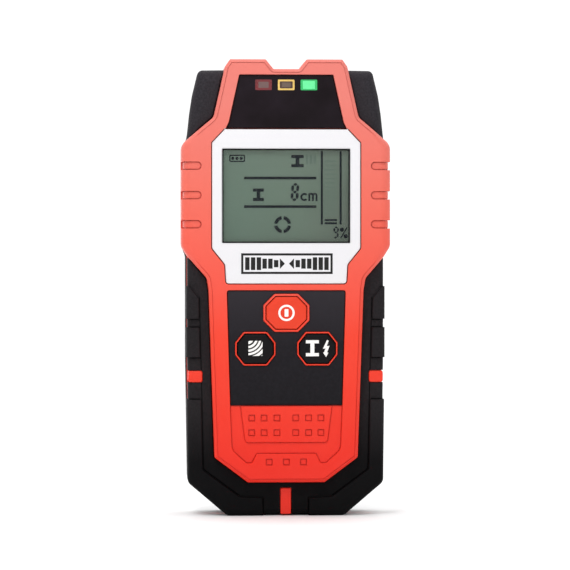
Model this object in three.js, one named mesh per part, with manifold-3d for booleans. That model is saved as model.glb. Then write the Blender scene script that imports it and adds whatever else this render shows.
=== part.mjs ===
// Hand-held stud finder (wall scanner) for wood, metal and live wires.
//
// Millimetres. Every piece is drawn in the case frame: x to the right, y along the length towards the marking
// notch, z out of the face, with z = 0 on the plane of the glide pads that slide on the wall. The last lines turn
// the whole assembly upright, so that in the part's own frame it stands on its lower bumper: +Z up, face towards -Y.
import * as THREE from "three";
import { mergeVertices } from "three/addons/utils/BufferGeometryUtils.js";
import Module from "manifold-3d";

const wasm = await Module();
wasm.setup();

// ---------------------------------------------------------------- driving dimensions
const LENGTH = 165; // overall, ears to lower bumper
const HALF_L = LENGTH / 2;
const THICK = 32; // glide pads to button faces
const Z_BACK = 0.6; // outer face of the rear shell
const WALL = 2;
const Z_PART = 14; // parting plane between the two shells
const Z_TOP = 31.2; // front frame
const Z_FLOOR = 30; // floor under bezel and keypad panel
const Z_CEIL = 29; // inside face of the front wall
const Z_FLANGE = 25.4; // front shell under the rubber
const Z_BAND = 27.2; // rubber surface beside the frame
const Z_BLOCK = 28.2; // raised rubber blocks
const RUBBER = 2.2;
const GAP = 0.15; // assembly gap between neighbouring pieces
const PCB_TOP = 24.5;
const PCB_T = 1.6;
const TRAVEL = 0.8; // of each button
const LCD_Y = 33.25; // centre of the display
const LCD_W = 46.3; // visible width and height
const LCD_H = 34.1;
const LED_X = [-8.2, 0, 8.2];
const LED_Y = 73.3;
const BATTERY = [26.5, 46, 17.5];
const BATTERY_Y = -51.5;
const BATTERY_Z = 12.15;
const DOOR = { x: 15, y0: -76.4, y1: -20.5, z0: 0.7, z1: 2.5 };
const CASE_SCREWS = [
  [-24.5, 71.2],
  [24.5, 71.2],
  [-27, -62.5],
  [27, -62.5],
];
const BOARD_SCREWS = [
  [-19.5, 62],
  [19.5, 62],
  [-20.6, -34],
  [20.6, -34],
];
const GRIP_Y = [44.1, 33.5, 23]; // finger grooves
const BUTTONS = {
  power: { x: 0, y: -8.95, w: 8.3, h: 6.85, tw: 4.25, th: 2.75, ring: 0.75 },
  wood: { x: -11.2, y: -21.9, w: 7.25, h: 6.05, tw: 4.2, th: 2.2, ring: 0.5 },
  metal: { x: 11.2, y: -21.9, w: 7.25, h: 6.05, tw: 4.2, th: 2.2, ring: 0.5 },
};

// right halves of the outlines, from the lower centre upwards
const FRAME_HALF = [
  [13.9, -70.2],
  [25.9, -61.2],
  [28, -0.7],
  [28.7, 3.6],
  [35.4, 11.2],
  [37.8, 15],
  [37.8, 51.3],
  [36, 53.4],
  [26.2, 61.6],
  [24.1, 70.8],
  [22.1, 79.9],
  [20.3, HALF_L],
  [7.4, HALF_L],
  [4.6, 79],
];
const BODY_HALF = [
  [21.1, -HALF_L],
  [35.5, -70.4],
  [36, -25],
  [36, 50],
  [35.7, 54.5],
  [34.8, 63],
  [33.8, 69.6],
  [31.9, 77.6],
  [30.8, 78.7],
];
const REAR_HALF = [
  [20.9, -HALF_L],
  [35.3, -70.4],
  [36, -25],
  [36, 11.5],
  [37.3, 15],
  [37.3, 51],
  [35.6, 54.5],
  [34.6, 63],
  [33.6, 69.6],
  [31.6, 77.4],
  [30.5, 78.5],
];
const LENS_HALF = [
  [21.8, 57.75],
  [20.8, 59.8],
  [17, 77],
];
const BEZEL_HALF = [
  [21.2, 1.3],
  [22.1, 2.2],
  [22.4, 8.4],
  [27.1, 14.2],
  [27.1, 52.5],
  [22.3, 57.55],
];
const KEYPAD_HALF = [
  [20.3, -42.4],
  [21.5, -1.5],
  [20.8, -0.8],
];
const TEXTURE_HALF = [
  [10.7, -59.8],
  [12.6, -62.8],
  [14.3, -63],
  [18.9, -59.1],
  [19.7, -57.4],
  [20.2, -43.2],
];
const NOSE_HALF = [
  [29.2, 50],
  [29.2, 56],
  [24, 60.2],
  [23.2, 64],
  [20.4, 76],
];
const ISLAND_HALF = [
  [14.8, -55.7],
  [16.3, -43.9],
];

// ---------------------------------------------------------------- helpers
const both = (half) => [
  ...half,
  ...half
    .slice()
    .reverse()
    .map(([x, y]) => [-x, y]),
];

// offset of a counter-clockwise outline, outwards for a positive d: each edge is shifted along its normal, and an
// edge that has shrunk away is dropped
const grow = (pts, d) => {
  let lines = pts.map((p, i) => {
    const q = pts[(i + 1) % pts.length];
    const l = Math.hypot(q[0] - p[0], q[1] - p[1]);
    const u = [(q[0] - p[0]) / l, (q[1] - p[1]) / l];
    return { p: [p[0] + u[1] * d, p[1] - u[0] * d], u };
  });
  for (;;) {
    const n = lines.length;
    const corner = lines.map((b, i) => {
      const a = lines[(i + n - 1) % n];
      const k = a.u[0] * b.u[1] - a.u[1] * b.u[0];
      const t =
        ((b.p[0] - a.p[0]) * b.u[1] - (b.p[1] - a.p[1]) * b.u[0]) / k;
      return [a.p[0] + a.u[0] * t, a.p[1] + a.u[1] * t];
    });
    const run = lines.map((l, i) => {
      const q = corner[(i + 1) % n];
      return (q[0] - corner[i][0]) * l.u[0] + (q[1] - corner[i][1]) * l.u[1];
    });
    const worst = Math.min(...run);
    if (worst > 0.01 || n < 4) return corner;
    lines = lines.filter((_, i) => run[i] !== worst);
  }
};

const toShape = (pts) =>
  new THREE.Shape(pts.map(([x, y]) => new THREE.Vector2(x, y)));

const rectangle = (w, h, x = 0, y = 0) => [
  [x - w / 2, y - h / 2],
  [x + w / 2, y - h / 2],
  [x + w / 2, y + h / 2],
  [x - w / 2, y + h / 2],
];

const rounded = (w, h, r, x = 0, y = 0, seg = 3) => {
  const out = [];
  [
    [x + w / 2 - r, y - h / 2 + r, -90],
    [x + w / 2 - r, y + h / 2 - r, 0],
    [x - w / 2 + r, y + h / 2 - r, 90],
    [x - w / 2 + r, y - h / 2 + r, 180],
  ].forEach(([cx, cy, a0]) => {
    for (let i = 0; i <= seg; i++) {
      const a = THREE.MathUtils.degToRad(a0 + (90 * i) / seg);
      out.push([cx + r * Math.cos(a), cy + r * Math.sin(a)]);
    }
  });
  return out;
};

const octagon = (b, d = 0) =>
  grow(
    [
      [b.x + b.tw, b.y - b.h],
      [b.x + b.w, b.y - b.th],
      [b.x + b.w, b.y + b.th],
      [b.x + b.tw, b.y + b.h],
      [b.x - b.tw, b.y + b.h],
      [b.x - b.w, b.y + b.th],
      [b.x - b.w, b.y - b.th],
      [b.x - b.tw, b.y - b.h],
    ],
    d,
  );

function solid(geometry) {
  const g = geometry.index ? geometry.toNonIndexed() : geometry.clone();
  g.deleteAttribute("normal");
  g.deleteAttribute("uv");
  const m = mergeVertices(g, 1e-4);
  return new wasm.Manifold(
    new wasm.Mesh({
      numProp: 3,
      vertProperties: m.attributes.position.array,
      triVerts: new Uint32Array(m.index.array),
    }),
  );
}

const prism = (pts, z0, z1) =>
  solid(
    new THREE.ExtrudeGeometry(toShape(pts), {
      depth: z1 - z0,
      bevelEnabled: false,
    }).translate(0, 0, z0),
  );

// a prism whose edges at z1 (and, with both ends, at z0) are rounded off by r
const softPrism = (pts, z0, z1, r, { ends = "top", seg = 2 } = {}) => {
  const low = ends === "top" ? z0 - 3 * r : z0;
  const high = ends === "low" ? z1 + 3 * r : z1;
  const s = solid(
    new THREE.ExtrudeGeometry(toShape(pts), {
      depth: high - low - 2 * r,
      bevelEnabled: true,
      bevelSegments: seg,
      bevelSize: r,
      bevelThickness: r,
      bevelOffset: -r,
    }).translate(0, 0, low + r),
  );
  if (ends === "top") return s.subtract(block(-90, 90, -110, 110, z0 - 9 * r - 1, z0));
  if (ends === "low") return s.subtract(block(-90, 90, -110, 110, z1, z1 + 9 * r + 1));
  return s;
};

const block = (x0, x1, y0, y1, z0, z1) =>
  solid(
    new THREE.BoxGeometry(x1 - x0, y1 - y0, z1 - z0).translate(
      (x0 + x1) / 2,
      (y0 + y1) / 2,
      (z0 + z1) / 2,
    ),
  );

// a turned piece on an axis along z: profile is [[radius, z], ...] from the axis to the axis, upwards on the outside
const turned = (profile, x, y, seg = 16) =>
  solid(
    new THREE.LatheGeometry(
      profile.map(([r, z]) => new THREE.Vector2(r, z)),
      seg,
    )
      .rotateX(Math.PI / 2)
      .translate(x, y, 0),
  );

const rod = (r, x, y, z0, z1, seg = 16) =>
  solid(
    new THREE.CylinderGeometry(r, r, z1 - z0, seg)
      .rotateX(Math.PI / 2)
      .translate(x, y, (z0 + z1) / 2),
  );

const mirrored = (list) => list.flatMap(([x, ...r]) => [[x, ...r], [-x, ...r]]);
const join = (...s) => s.reduce((a, b) => a.add(b));
const cut = (a, ...s) => s.reduce((p, q) => p.subtract(q), a);

const paint = (color, roughness, metalness = 0, extra = {}) =>
  new THREE.MeshStandardMaterial({ color, roughness, metalness, ...extra });
const M = {
  orange: paint(0xe8432f, 0.42),
  black: paint(0x1c1b1d, 0.5),
  rubber: paint(0x151416, 0.75),
  gloss: paint(0x0b090b, 0.08),
  silver: paint(0xf0f0f0, 0.35, 0.2),
  clear: paint(0xdfe6e2, 0.05, 0, { transparent: true, opacity: 0.35 }),
  lcd: paint(0x6f8073, 0.3),
  white: paint(0xf2f2ee, 0.5),
  board: paint(0x1d5a35, 0.45),
  foam: paint(0x222222, 0.95),
  steel: paint(0xb9babc, 0.3, 0.9),
  copper: paint(0xb4653a, 0.3, 0.9),
  red: paint(0xb3242a, 0.25),
  amber: paint(0xd9a934, 0.25),
  green: paint(0x49d07f, 0.25),
  chip: paint(0x18181a, 0.4),
  cell: paint(0x33363c, 0.35, 0.3),
  label: paint(0xb8bbbd, 0.5),
  redWire: paint(0xa81e1e, 0.5),
};

const device = new THREE.Group();
function piece(name, manifold, material) {
  const m = manifold.getMesh();
  const n = m.numProp;
  const v = new Float32Array(m.numVert * 3);
  for (let i = 0; i < m.numVert; i++)
    v.set(m.vertProperties.subarray(i * n, i * n + 3), i * 3);
  const g = new THREE.BufferGeometry()
    .setAttribute("position", new THREE.BufferAttribute(v, 3))
    .setIndex(new THREE.BufferAttribute(new Uint32Array(m.triVerts), 1));
  g.computeVertexNormals();
  const mesh = new THREE.Mesh(g, material);
  mesh.name = name;
  device.add(mesh);
  return mesh;
}

const FRAME = both(FRAME_HALF);
const BODY = both(BODY_HALF);
const REAR = both(REAR_HALF);

// ---------------------------------------------------------------- front shell
{
  // frame with ears and grips, the flange under the rubber and the rim along the parting plane
  let s = join(
    softPrism(FRAME, Z_PART + 0.3, Z_TOP, 0.7),
    prism(grow(BODY, -RUBBER - 0.1), Z_PART + 0.3, Z_FLANGE),
    prism(grow(BODY, -0.35), Z_PART + 0.3, Z_PART + 2.4),
    // centring tabs that show through the rubber at both sides and at the lower end
    block(30.2, 35.3, -34.1, -30, Z_PART + 0.3, Z_BAND - 0.1),
    block(-35.3, -30.2, -34.1, -30, Z_PART + 0.3, Z_BAND - 0.1),
    block(-1.9, 1.9, -82, -72.4, Z_PART + 0.3, Z_BAND - 0.1),
  );
  // rounded outer edge of the grips
  const arc = [];
  for (let i = 0; i <= 4; i++) {
    const a = (Math.PI / 2) * (i / 4);
    arc.push([35.3 + 2.6 * Math.cos(a), Z_TOP - 2.6 + 2.6 * Math.sin(a)]);
  }
  const edge = [...arc, [35.3, Z_TOP + 2], [40, Z_TOP + 2], [40, Z_TOP - 2.6]];
  for (const side of [1, -1]) {
    const pts = edge.map(([x, z]) => [side * x, z]);
    if (side > 0) pts.reverse();
    s = s.subtract(
      solid(
        new THREE.ExtrudeGeometry(toShape(pts), { depth: 46, bevelEnabled: false })
          .rotateX(Math.PI / 2)
          .translate(0, 56, 0),
      ),
    );
    // finger grooves over the edge of each grip
    for (const y of GRIP_Y) {
      const x0 = 30.7,
        x1 = 40;
      s = cut(
        s,
        prism(
          rounded(x1 - x0, 3, 1.45, (side * (x0 + x1)) / 2, y, 4),
          Z_TOP - 0.7,
          Z_TOP + 2,
        ),
        block(side > 0 ? 37.1 : -40, side > 0 ? 40 : -37.1, y - 1.5, y + 1.5, 17, Z_TOP),
      );
    }
  }
  // inside: under the flange, under the frame, and the lower ceiling under the indicator lens
  s = cut(
    s,
    prism(grow(BODY, -RUBBER - WALL - 0.1), Z_PART, Z_FLANGE - WALL),
    prism(
      grow(FRAME, -WALL - 0.2).filter(([, y]) => y < 61),
      Z_PART,
      Z_CEIL,
    ).intersect(block(-60, 60, -66, 56.5, 0, 40)),
    prism(both(NOSE_HALF), Z_PART, 27.6),
    // seats of lens, bezel and keypad panel
    prism(both(LENS_HALF), 28.8, 40),
    prism(both(BEZEL_HALF), Z_FLOOR, 40),
    prism(both(KEYPAD_HALF), Z_FLOOR, 40),
    prism(rectangle(48, 35.8, 0, LCD_Y), Z_CEIL - 1, 40),
    // thumb rest with its raised island
    cut(
      prism(both(TEXTURE_HALF), Z_TOP - 0.8, 40),
      prism(both(ISLAND_HALF), Z_TOP - 1, Z_TOP - 0.1),
    ),
  );
  for (const x of LED_X)
    s = s.subtract(prism(rectangle(6.2, 4, x, LED_Y), 27, 29.5));
  for (const y of [-46.9, -52.2])
    for (const x of [-12.5, -8.05, -3.4, 3.4, 8.05, 12.5])
      s = s.subtract(prism(rectangle(2.5, 2.5, x, y), Z_TOP - 0.9, 40));
  for (const x of [-6.2, 0, 6.2])
    s = s.subtract(prism(rectangle(2.5, 2.5, x, -62.8), Z_TOP - 0.9, 40));
  // collars round the buttons
  for (const b of Object.values(BUTTONS)) {
    s = s.add(prism(octagon(b), Z_CEIL + 0.2, 31.5));
    s = s.subtract(prism(octagon(b, -b.ring), Z_CEIL - 1, 40));
  }
  // screw bosses: case screws from the rear, board screws on posts from the front wall
  for (const [x, y] of CASE_SCREWS) {
    s = s.add(rod(3.3, x, y, Z_PART + 0.3, Z_FLANGE - 1, 16));
    s = s.subtract(rod(1.6, x, y, 10, Z_FLANGE - 2.2, 12));
  }
  for (const [x, y] of BOARD_SCREWS) {
    s = s.add(rod(2.4, x, y, PCB_TOP + 0.15, y > 50 ? 28 : Z_CEIL + 0.5, 12));
    s = s.subtract(rod(1.15, x, y, 20, 27.4, 10));
  }
  piece("front_shell", s, M.orange);
}

// ---------------------------------------------------------------- rear shell
{
  let s = softPrism(REAR, Z_BACK, Z_PART, 1.9, { ends: "low", seg: 3 });
  s = s.subtract(prism(grow(REAR, -WALL), Z_BACK + WALL, Z_PART + 1));
  // battery box
  s = s.add(prism(rectangle(33.2, 60.4, 0, -47.8), Z_BACK + 1, 22.2));
  s = s.subtract(block(-15.2, 15.2, -76.6, -19, Z_BACK + WALL, 21.2));
  s = s.subtract(block(-15.2, 15.2, -76.6, -20.3, 0, Z_BACK + WALL + 0.1));
  s = s.subtract(block(-5.2, 5.2, -19.4, -17, 15, 23)); // way out of the leads
  for (const [x, y] of CASE_SCREWS) {
    s = s.add(rod(4.2, x, y, Z_BACK + 1, Z_PART, 16));
    s = s.subtract(rod(3.2, x, y, 0, 4, 16));
    s = s.subtract(rod(1.7, x, y, 3, 20, 12));
  }
  // label seat, sound slots of the buzzer, thumb recess at the lower end of the door
  s = s.subtract(prism(rounded(38.4, 30.4, 2, 0, 0.5), 0, Z_BACK + 0.25));
  for (const x of [19.5, 22, 24.5])
    s = s.subtract(prism(rounded(1.2, 7, 0.55, x + 2, 0.5), 0, 4));
  s = s.subtract(
    solid(
      new THREE.CylinderGeometry(5, 5, 16, 16)
        .rotateZ(Math.PI / 2)
        .translate(0, -78.4, -3.6),
    ),
  );
  // ribs that carry the sensor board
  for (const [x, y] of mirrored([
    [18, 24],
    [18, 60],
  ]))
    s = s.add(block(x - 1.2, x + 1.2, y - 4, y + 4, Z_BACK + 1, 3.6));
  piece("rear_shell", s, M.black);
}

// ---------------------------------------------------------------- rubber
{
  const z0 = Z_PART + 2.6;
  const sheet = softPrism(BODY, z0, Z_BAND, 1.8, { seg: 3 });
  const overFlange = (s) =>
    cut(
      s,
      prism(grow(BODY, -RUBBER), 0, Z_FLANGE + 0.1),
      prism(grow(FRAME, GAP), 0, 60),
    );
  // raised blocks of the lower bumper, outside of this line
  const inner = [
    [8.4, -75.9],
    [16.6, -75.8],
    [30, -65.5],
    [30.6, -38],
    [31.3, -10],
    [31.6, 2],
    [31.6, 90],
  ];
  let blocks = cut(
    softPrism(BODY, z0, Z_BLOCK, 1.5, { seg: 2 }),
    prism(both(inner), 0, 60),
    block(-8.4, 8.4, -90, -70, 0, 60),
    block(-50, 50, -14.3, -11.2, 0, 60),
    block(-50, 50, -40.4, -25.1, 0, 60),
    block(-50, 50, 1.1, 90, 0, 60),
  );
  for (const side of [1, -1])
    blocks = blocks.subtract(
      prism(
        [
          [side * 38, 1.6],
          [side * 30, 1.6],
          [side * 30, -3.8],
          [side * 31.2, -3.1],
          [side * 35.2, -0.2],
        ],
        0,
        60,
      ),
    );
  let s = overFlange(join(sheet, blocks).intersect(block(-50, 50, -90, 11, 0, 60)));
  for (const [x0, x1] of [
    [35.5, 40],
    [-40, -35.5],
  ])
    for (const [y0, y1] of [
      [-14.3, -11.2],
      [-40.4, -25.1],
    ])
      s = s.subtract(block(x0, x1, y0, y1, 10, 60));
  // slots for the centring tabs, shallow recess of the lower end
  s = cut(
    s,
    block(30, 50, -34.3, -29.8, 0, 60),
    block(-50, -30, -34.3, -29.8, 0, 60),
    block(-2.1, 2.1, -90, -72.2, 0, 60),
    block(-8.4, 8.4, -90, -81.8, 0, 60),
  );
  piece("bumper", s, M.rubber);
  // shoulders at the upper corners
  piece("shoulder_left", overFlange(sheet.intersect(block(-50, -15, 50, 90, 0, 60))), M.rubber);
  piece("shoulder_right", overFlange(sheet.intersect(block(15, 50, 50, 90, 0, 60))), M.rubber);
}

// ---------------------------------------------------------------- face
piece("indicator_lens", prism(grow(both(LENS_HALF), -GAP), 28.9, 30.1), M.gloss);
piece(
  "screen_bezel",
  prism(grow(both(BEZEL_HALF), -GAP), 30.1, 30.9).subtract(
    prism(rectangle(LCD_W, LCD_H, 0, LCD_Y), 20, 40),
  ),
  M.silver,
);
piece("screen_window", prism(rectangle(47.6, 35.4, 0, LCD_Y), 29.1, 30), M.clear);
{
  let s = prism(grow(both(KEYPAD_HALF), -GAP), 30.1, 30.8);
  for (const b of Object.values(BUTTONS)) s = s.subtract(prism(octagon(b, GAP), 20, 40));
  piece("keypad_panel", s, M.black);
}
for (const [name, b] of Object.entries(BUTTONS)) {
  const d = -b.ring - 0.35;
  piece(
    `${name}_button`,
    join(
      softPrism(octagon(b, d), 28, THICK, 0.5),
      prism(octagon(b, -0.1), 27.9, 28.7),
      rod(2, b.x, b.y, 27.7, 28.2, 12),
    ),
    name === "power" ? M.orange : M.black,
  );
  piece(
    `${name}_switch`,
    prism(rectangle(6, 6, b.x, b.y), PCB_TOP + 0.1, 26.8).subtract(
      rod(1.7, b.x, b.y, 25.2, 30, 12),
    ),
    M.chip,
  );
  piece(`${name}_switch_plunger`, rod(1.5, b.x, b.y, 26.2, 27.6, 12), M.chip);
}

// ---------------------------------------------------------------- display
piece(
  "lcd_gasket",
  prism(rectangle(50, 38, 0, LCD_Y), 28.4, 28.9).subtract(
    prism(rectangle(LCD_W + 0.2, LCD_H + 0.2, 0, LCD_Y), 20, 40),
  ),
  M.foam,
);
piece("lcd_panel", prism(rectangle(50, 38, 0, LCD_Y), 26.2, 28.3), M.lcd);
piece("lcd_backlight", prism(rectangle(50, 33, 0, LCD_Y), 24.6, 26.1), M.white);
piece("lcd_contact_upper", prism(rectangle(46, 1.8, 0, 51), 24.6, 26.1), M.foam);
piece("lcd_contact_lower", prism(rectangle(46, 1.8, 0, 15.5), 24.6, 26.1), M.foam);

// ---------------------------------------------------------------- boards
{
  const outline = both([
    [22, -37],
    [24.2, -35],
    [24.6, 2],
    [30, 10],
    [30, 52],
    [23, 58],
    [22.7, 64],
    [19, 68],
    [18.4, 75.6],
  ]);
  let s = prism(outline, PCB_TOP - PCB_T, PCB_TOP);
  for (const [x, y] of BOARD_SCREWS) s = s.subtract(rod(1.3, x, y, 10, 40, 12));
  piece("main_board", s, M.board);
}
LED_X.forEach((x, i) =>
  piece(
    ["red_led", "amber_led", "green_led"][i],
    prism(rectangle(3.5, 2.8, x, LED_Y), PCB_TOP + 0.1, 25.8),
    [M.red, M.amber, M.green][i],
  ),
);
{
  let s = prism(rectangle(25.4, 5, 0, LED_Y), 25.9, 27.5);
  for (const x of LED_X) s = s.subtract(prism(rectangle(5.6, 3.6, x, LED_Y), 20, 40));
  piece("light_baffle", s, M.black);
}
piece("controller_chip", prism(rectangle(12, 12, 4, 4), 21.2, 22.8), M.chip);
piece("buzzer", rod(6, 23, 0.5, 18.4, 22.8, 20), M.chip);
{
  const outline = both([
    [28, 12],
    [28, 54],
    [24, 64],
    [18, 70],
  ]);
  piece("sensor_board", prism(outline, 3.8, 5), M.board);
}
{
  // coil spool: two cheeks and a hub, with the winding in the groove between them
  const ring = (r0, r1, z0, z1) => rod(r1, 0, 44, z0, z1, 32).subtract(rod(r0, 0, 44, z0 - 1, z1 + 1, 32));
  piece("coil_spool", ring(15, 20, 5.2, 11).subtract(ring(16.6, 21, 6, 10.2)), M.black);
  piece("coil_winding", ring(16.8, 19.4, 6.2, 10), M.copper);
}
piece("board_connector", prism(rectangle(13, 5, 0, 20), 5.2, 22.7), M.chip);

// ---------------------------------------------------------------- battery and its door
{
  const [w, l, h] = BATTERY;
  const y0 = BATTERY_Y - l / 2;
  const y1 = BATTERY_Y + l / 2;
  const can = solid(
    new THREE.ExtrudeGeometry(toShape(rounded(w, h, 2.2)), {
      depth: l - 1,
      bevelEnabled: true,
      bevelSegments: 1,
      bevelSize: 0.5,
      bevelThickness: 0.5,
      bevelOffset: -0.5,
    })
      .rotateX(-Math.PI / 2)
      .translate(0, y0 + 0.5, BATTERY_Z),
  );
  const stud = (x, r, a, b, seg) =>
    solid(
      new THREE.CylinderGeometry(r, r, b - a, seg).translate(x, (a + b) / 2, BATTERY_Z),
    );
  piece(
    "battery",
    join(can, stud(-6.35, 2.85, y1 - 0.5, y1 + 2.4, 16), stud(6.35, 3.9, y1 - 0.5, y1 + 2.4, 6)),
    M.cell,
  );
  piece(
    "battery_snap",
    cut(
      block(-12.5, 12.5, y1 + 0.4, y1 + 4.4, BATTERY_Z - 5.4, BATTERY_Z + 5.4),
      stud(-6.35, 3.1, y1, y1 + 2.8, 16),
      stud(6.35, 4.2, y1, y1 + 2.8, 16),
    ),
    M.black,
  );
  const lead = (x0, x1) => {
    const path = new THREE.CatmullRomCurve3(
      [
        [x0, y1 + 4.8, 14.2],
        [x0, y1 + 5.9, 14.4],
        [(x0 + x1) / 2, -19.6, 17.6],
        [x1, -17, 18.4],
        [x1, -14.2, 20],
        [x1, -13.8, 22.6],
      ].map((p) => new THREE.Vector3(...p)),
    );
    const section = [];
    for (let i = 0; i < 8; i++) {
      const a = (Math.PI / 4) * i;
      section.push([0.65 * Math.cos(a), 0.65 * Math.sin(a)]);
    }
    return solid(
      new THREE.ExtrudeGeometry(toShape(section), { steps: 14, extrudePath: path }),
    );
  };
  piece("battery_lead_red", lead(-5.4, -2.4), M.redWire);
  piece("battery_lead_black", lead(5.4, 2.4), M.chip);
  piece("battery_pad", block(-10, 10, -66, -40, 2.6, 3.2), M.foam);

  // door: plate, two tabs that hook behind the edge of the opening, and the latch tongue at the free end
  const d = DOOR;
  let door = join(
    block(-d.x, d.x, d.y0, d.y1, d.z0, d.z1),
    ...[-9, 9].flatMap((x) => [
      block(x - 2.5, x + 2.5, -23.5, -21.5, 2, 4.2),
      block(x - 2.5, x + 2.5, -23.5, -19.2, 2.85, 4.2),
    ]),
    block(-4.2, 4.2, d.y0, -75.3, 2, 5),
  );
  for (let i = 0; i < 5; i++)
    door = door.subtract(block(-8, 8, -67.5 + i * 1.9, -66.7 + i * 1.9, 0, 1.05));
  for (const x of [-4.7, 4.7])
    door = door.subtract(block(x - 0.4, x + 0.4, -80, -70, 0, 10));
  piece("battery_door", door, M.black);
}

// ---------------------------------------------------------------- fasteners, pads and label
CASE_SCREWS.forEach(([x, y], i) =>
  piece(
    `case_screw_${i + 1}`,
    cut(
      turned(
        [
          [0, 2.1],
          [2.4, 2.1],
          [2.8, 2.6],
          [2.8, 3.8],
          [1.45, 3.85],
          [1.45, 20],
          [0, 21],
        ],
        x,
        y,
        14,
      ),
      block(x - 1.6, x + 1.6, y - 0.35, y + 0.35, 1, 2.9),
      block(x - 0.35, x + 0.35, y - 1.6, y + 1.6, 1, 2.9),
    ),
    M.steel,
  ),
);
BOARD_SCREWS.forEach(([x, y], i) =>
  piece(
    `board_screw_${i + 1}`,
    turned(
      [
        [0, 21.6],
        [1.6, 21.6],
        [2, 22],
        [2, 22.8],
        [1, 22.82],
        [1, 27],
        [0, 27.2],
      ],
      x,
      y,
      12,
    ),
    M.steel,
  ),
);
[
  [-27, 54],
  [27, 54],
  [-27, -44],
  [27, -44],
].forEach(([x, y], i) =>
  piece(
    `glide_pad_${["upper_left", "upper_right", "lower_left", "lower_right"][i]}`,
    prism(rounded(8, 20, 2, x, y), 0, 0.5),
    M.foam,
  ),
);
piece("rear_label", prism(rounded(38, 30, 1.8, 0, 0.5), 0.62, 0.78), M.label);

// ---------------------------------------------------------------- stand it upright
device.rotation.x = Math.PI / 2;
device.position.set(0, THICK / 2, HALF_L);

const standing = new THREE.Group();
standing.add(device);
export default standing;
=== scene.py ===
# Hand-held stud finder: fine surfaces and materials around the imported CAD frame.
# Shapes are drawn in the case's own millimetre frame (x right, y along the length, z out of the face, z = 0 on the
# glide pads) and moved to the row frame when a piece is finished.
import math

import bmesh
import bpy
from mathutils import Matrix, Vector
from mathutils.geometry import delaunay_2d_cdt, intersect_line_line_2d


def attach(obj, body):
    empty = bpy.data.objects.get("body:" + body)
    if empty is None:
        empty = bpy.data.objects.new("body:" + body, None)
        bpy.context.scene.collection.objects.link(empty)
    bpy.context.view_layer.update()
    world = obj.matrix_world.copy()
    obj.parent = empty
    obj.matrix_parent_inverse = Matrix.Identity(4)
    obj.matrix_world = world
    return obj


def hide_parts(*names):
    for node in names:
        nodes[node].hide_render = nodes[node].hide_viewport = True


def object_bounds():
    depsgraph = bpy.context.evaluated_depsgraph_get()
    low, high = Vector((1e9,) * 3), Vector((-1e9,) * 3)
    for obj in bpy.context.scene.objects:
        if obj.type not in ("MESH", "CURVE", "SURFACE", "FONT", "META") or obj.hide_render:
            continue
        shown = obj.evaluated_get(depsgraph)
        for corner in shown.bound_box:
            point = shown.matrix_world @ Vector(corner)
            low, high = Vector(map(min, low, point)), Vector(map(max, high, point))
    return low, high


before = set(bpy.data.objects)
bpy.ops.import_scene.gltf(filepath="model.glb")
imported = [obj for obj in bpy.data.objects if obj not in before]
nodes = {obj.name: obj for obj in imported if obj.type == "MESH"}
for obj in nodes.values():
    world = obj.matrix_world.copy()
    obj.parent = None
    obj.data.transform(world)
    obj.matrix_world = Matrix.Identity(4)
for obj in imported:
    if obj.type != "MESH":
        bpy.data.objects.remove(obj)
cad_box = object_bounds()
scene = bpy.context.scene

# ------------------------------------------------------------------ the case's frame in the row frame
lo, hi = cad_box
CX = (lo[0] + hi[0]) / 2 * 1000
CY = hi[1] * 1000  # glide pads
CZ = (lo[2] + hi[2]) / 2 * 1000  # half length
TO_ROW = Matrix(
    (
        (0.001, 0, 0, CX / 1000),
        (0, 0, -0.001, CY / 1000),
        (0, 0.001, 0, CZ / 1000),
        (0, 0, 0, 1),
    )
)

HALF_L = 82.5
Z_TOP = 31.2
Z_FLOOR = 30.0
Z_BAND = 27.2
Z_BLOCK = 28.2
LCD_Y = 33.25
LCD_W, LCD_H = 46.3, 34.1
LED_X = (-8.2, 0.0, 8.2)
LED_Y = 73.3
GRIP_Y = (44.1, 33.5, 23.0)
CASE_SCREWS = ((-24.5, 71.2), (24.5, 71.2), (-27, -62.5), (27, -62.5))
BUTTONS = {
    "power": dict(x=0, y=-8.95, w=8.3, h=6.85, tw=4.25, th=2.75, ring=0.75),
    "wood": dict(x=-11.2, y=-21.9, w=7.25, h=6.05, tw=4.2, th=2.2, ring=0.5),
    "metal": dict(x=11.2, y=-21.9, w=7.25, h=6.05, tw=4.2, th=2.2, ring=0.5),
}

# right halves, from the lower centre upwards: x, y, corner radius
FRAME = [
    (13.9, -70.2, 1.2),
    (25.9, -61.2, 1.2),
    (28.0, -0.7, 9),
    (28.7, 3.6, 3),
    (35.4, 11.2, 5),
    (37.8, 15.0, 3.5),
    (37.8, 51.9, 4.2),
    (26.2, 61.6, 3.0),
    (24.1, 70.8, 8),
    (22.1, 79.9, 0.8),
    (20.3, HALF_L, 0.7),
    (7.4, HALF_L, 0.7),
    (4.6, 79.0, 0.7),
]
BODY = [
    (21.2, -HALF_L, 2.4),
    (35.5, -70.4, 3.0),
    (36.0, -25.0, 0),
    (36.0, 50.0, 12),
    (35.7, 54.5, 12),
    (34.8, 63.0, 14),
    (33.8, 69.6, 14),
    (31.6, 78.8, 2.0),
    (24.0, 78.9, 0),
]
REAR = [
    (20.9, -HALF_L, 2.6),
    (35.3, -70.4, 3.0),
    (36.0, -25.0, 0),
    (36.0, 11.5, 4),
    (37.3, 15.0, 5),
    (37.3, 50.5, 6),
    (35.5, 54.5, 10),
    (34.4, 63.0, 14),
    (33.3, 69.6, 14),
    (31.3, 78.5, 2.2),
]
LENS = [(21.8, 57.0, 0), (21.8, 57.75, 0), (20.8, 59.8, 2), (17.0, 77.0, 0.5)]
BEZEL = [
    (22.0, 1.3, 1.3),
    (22.4, 8.4, 2.0),
    (27.1, 14.2, 2.0),
    (27.1, 52.5, 0.8),
    (22.3, 57.55, 0.3),
]
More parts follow.
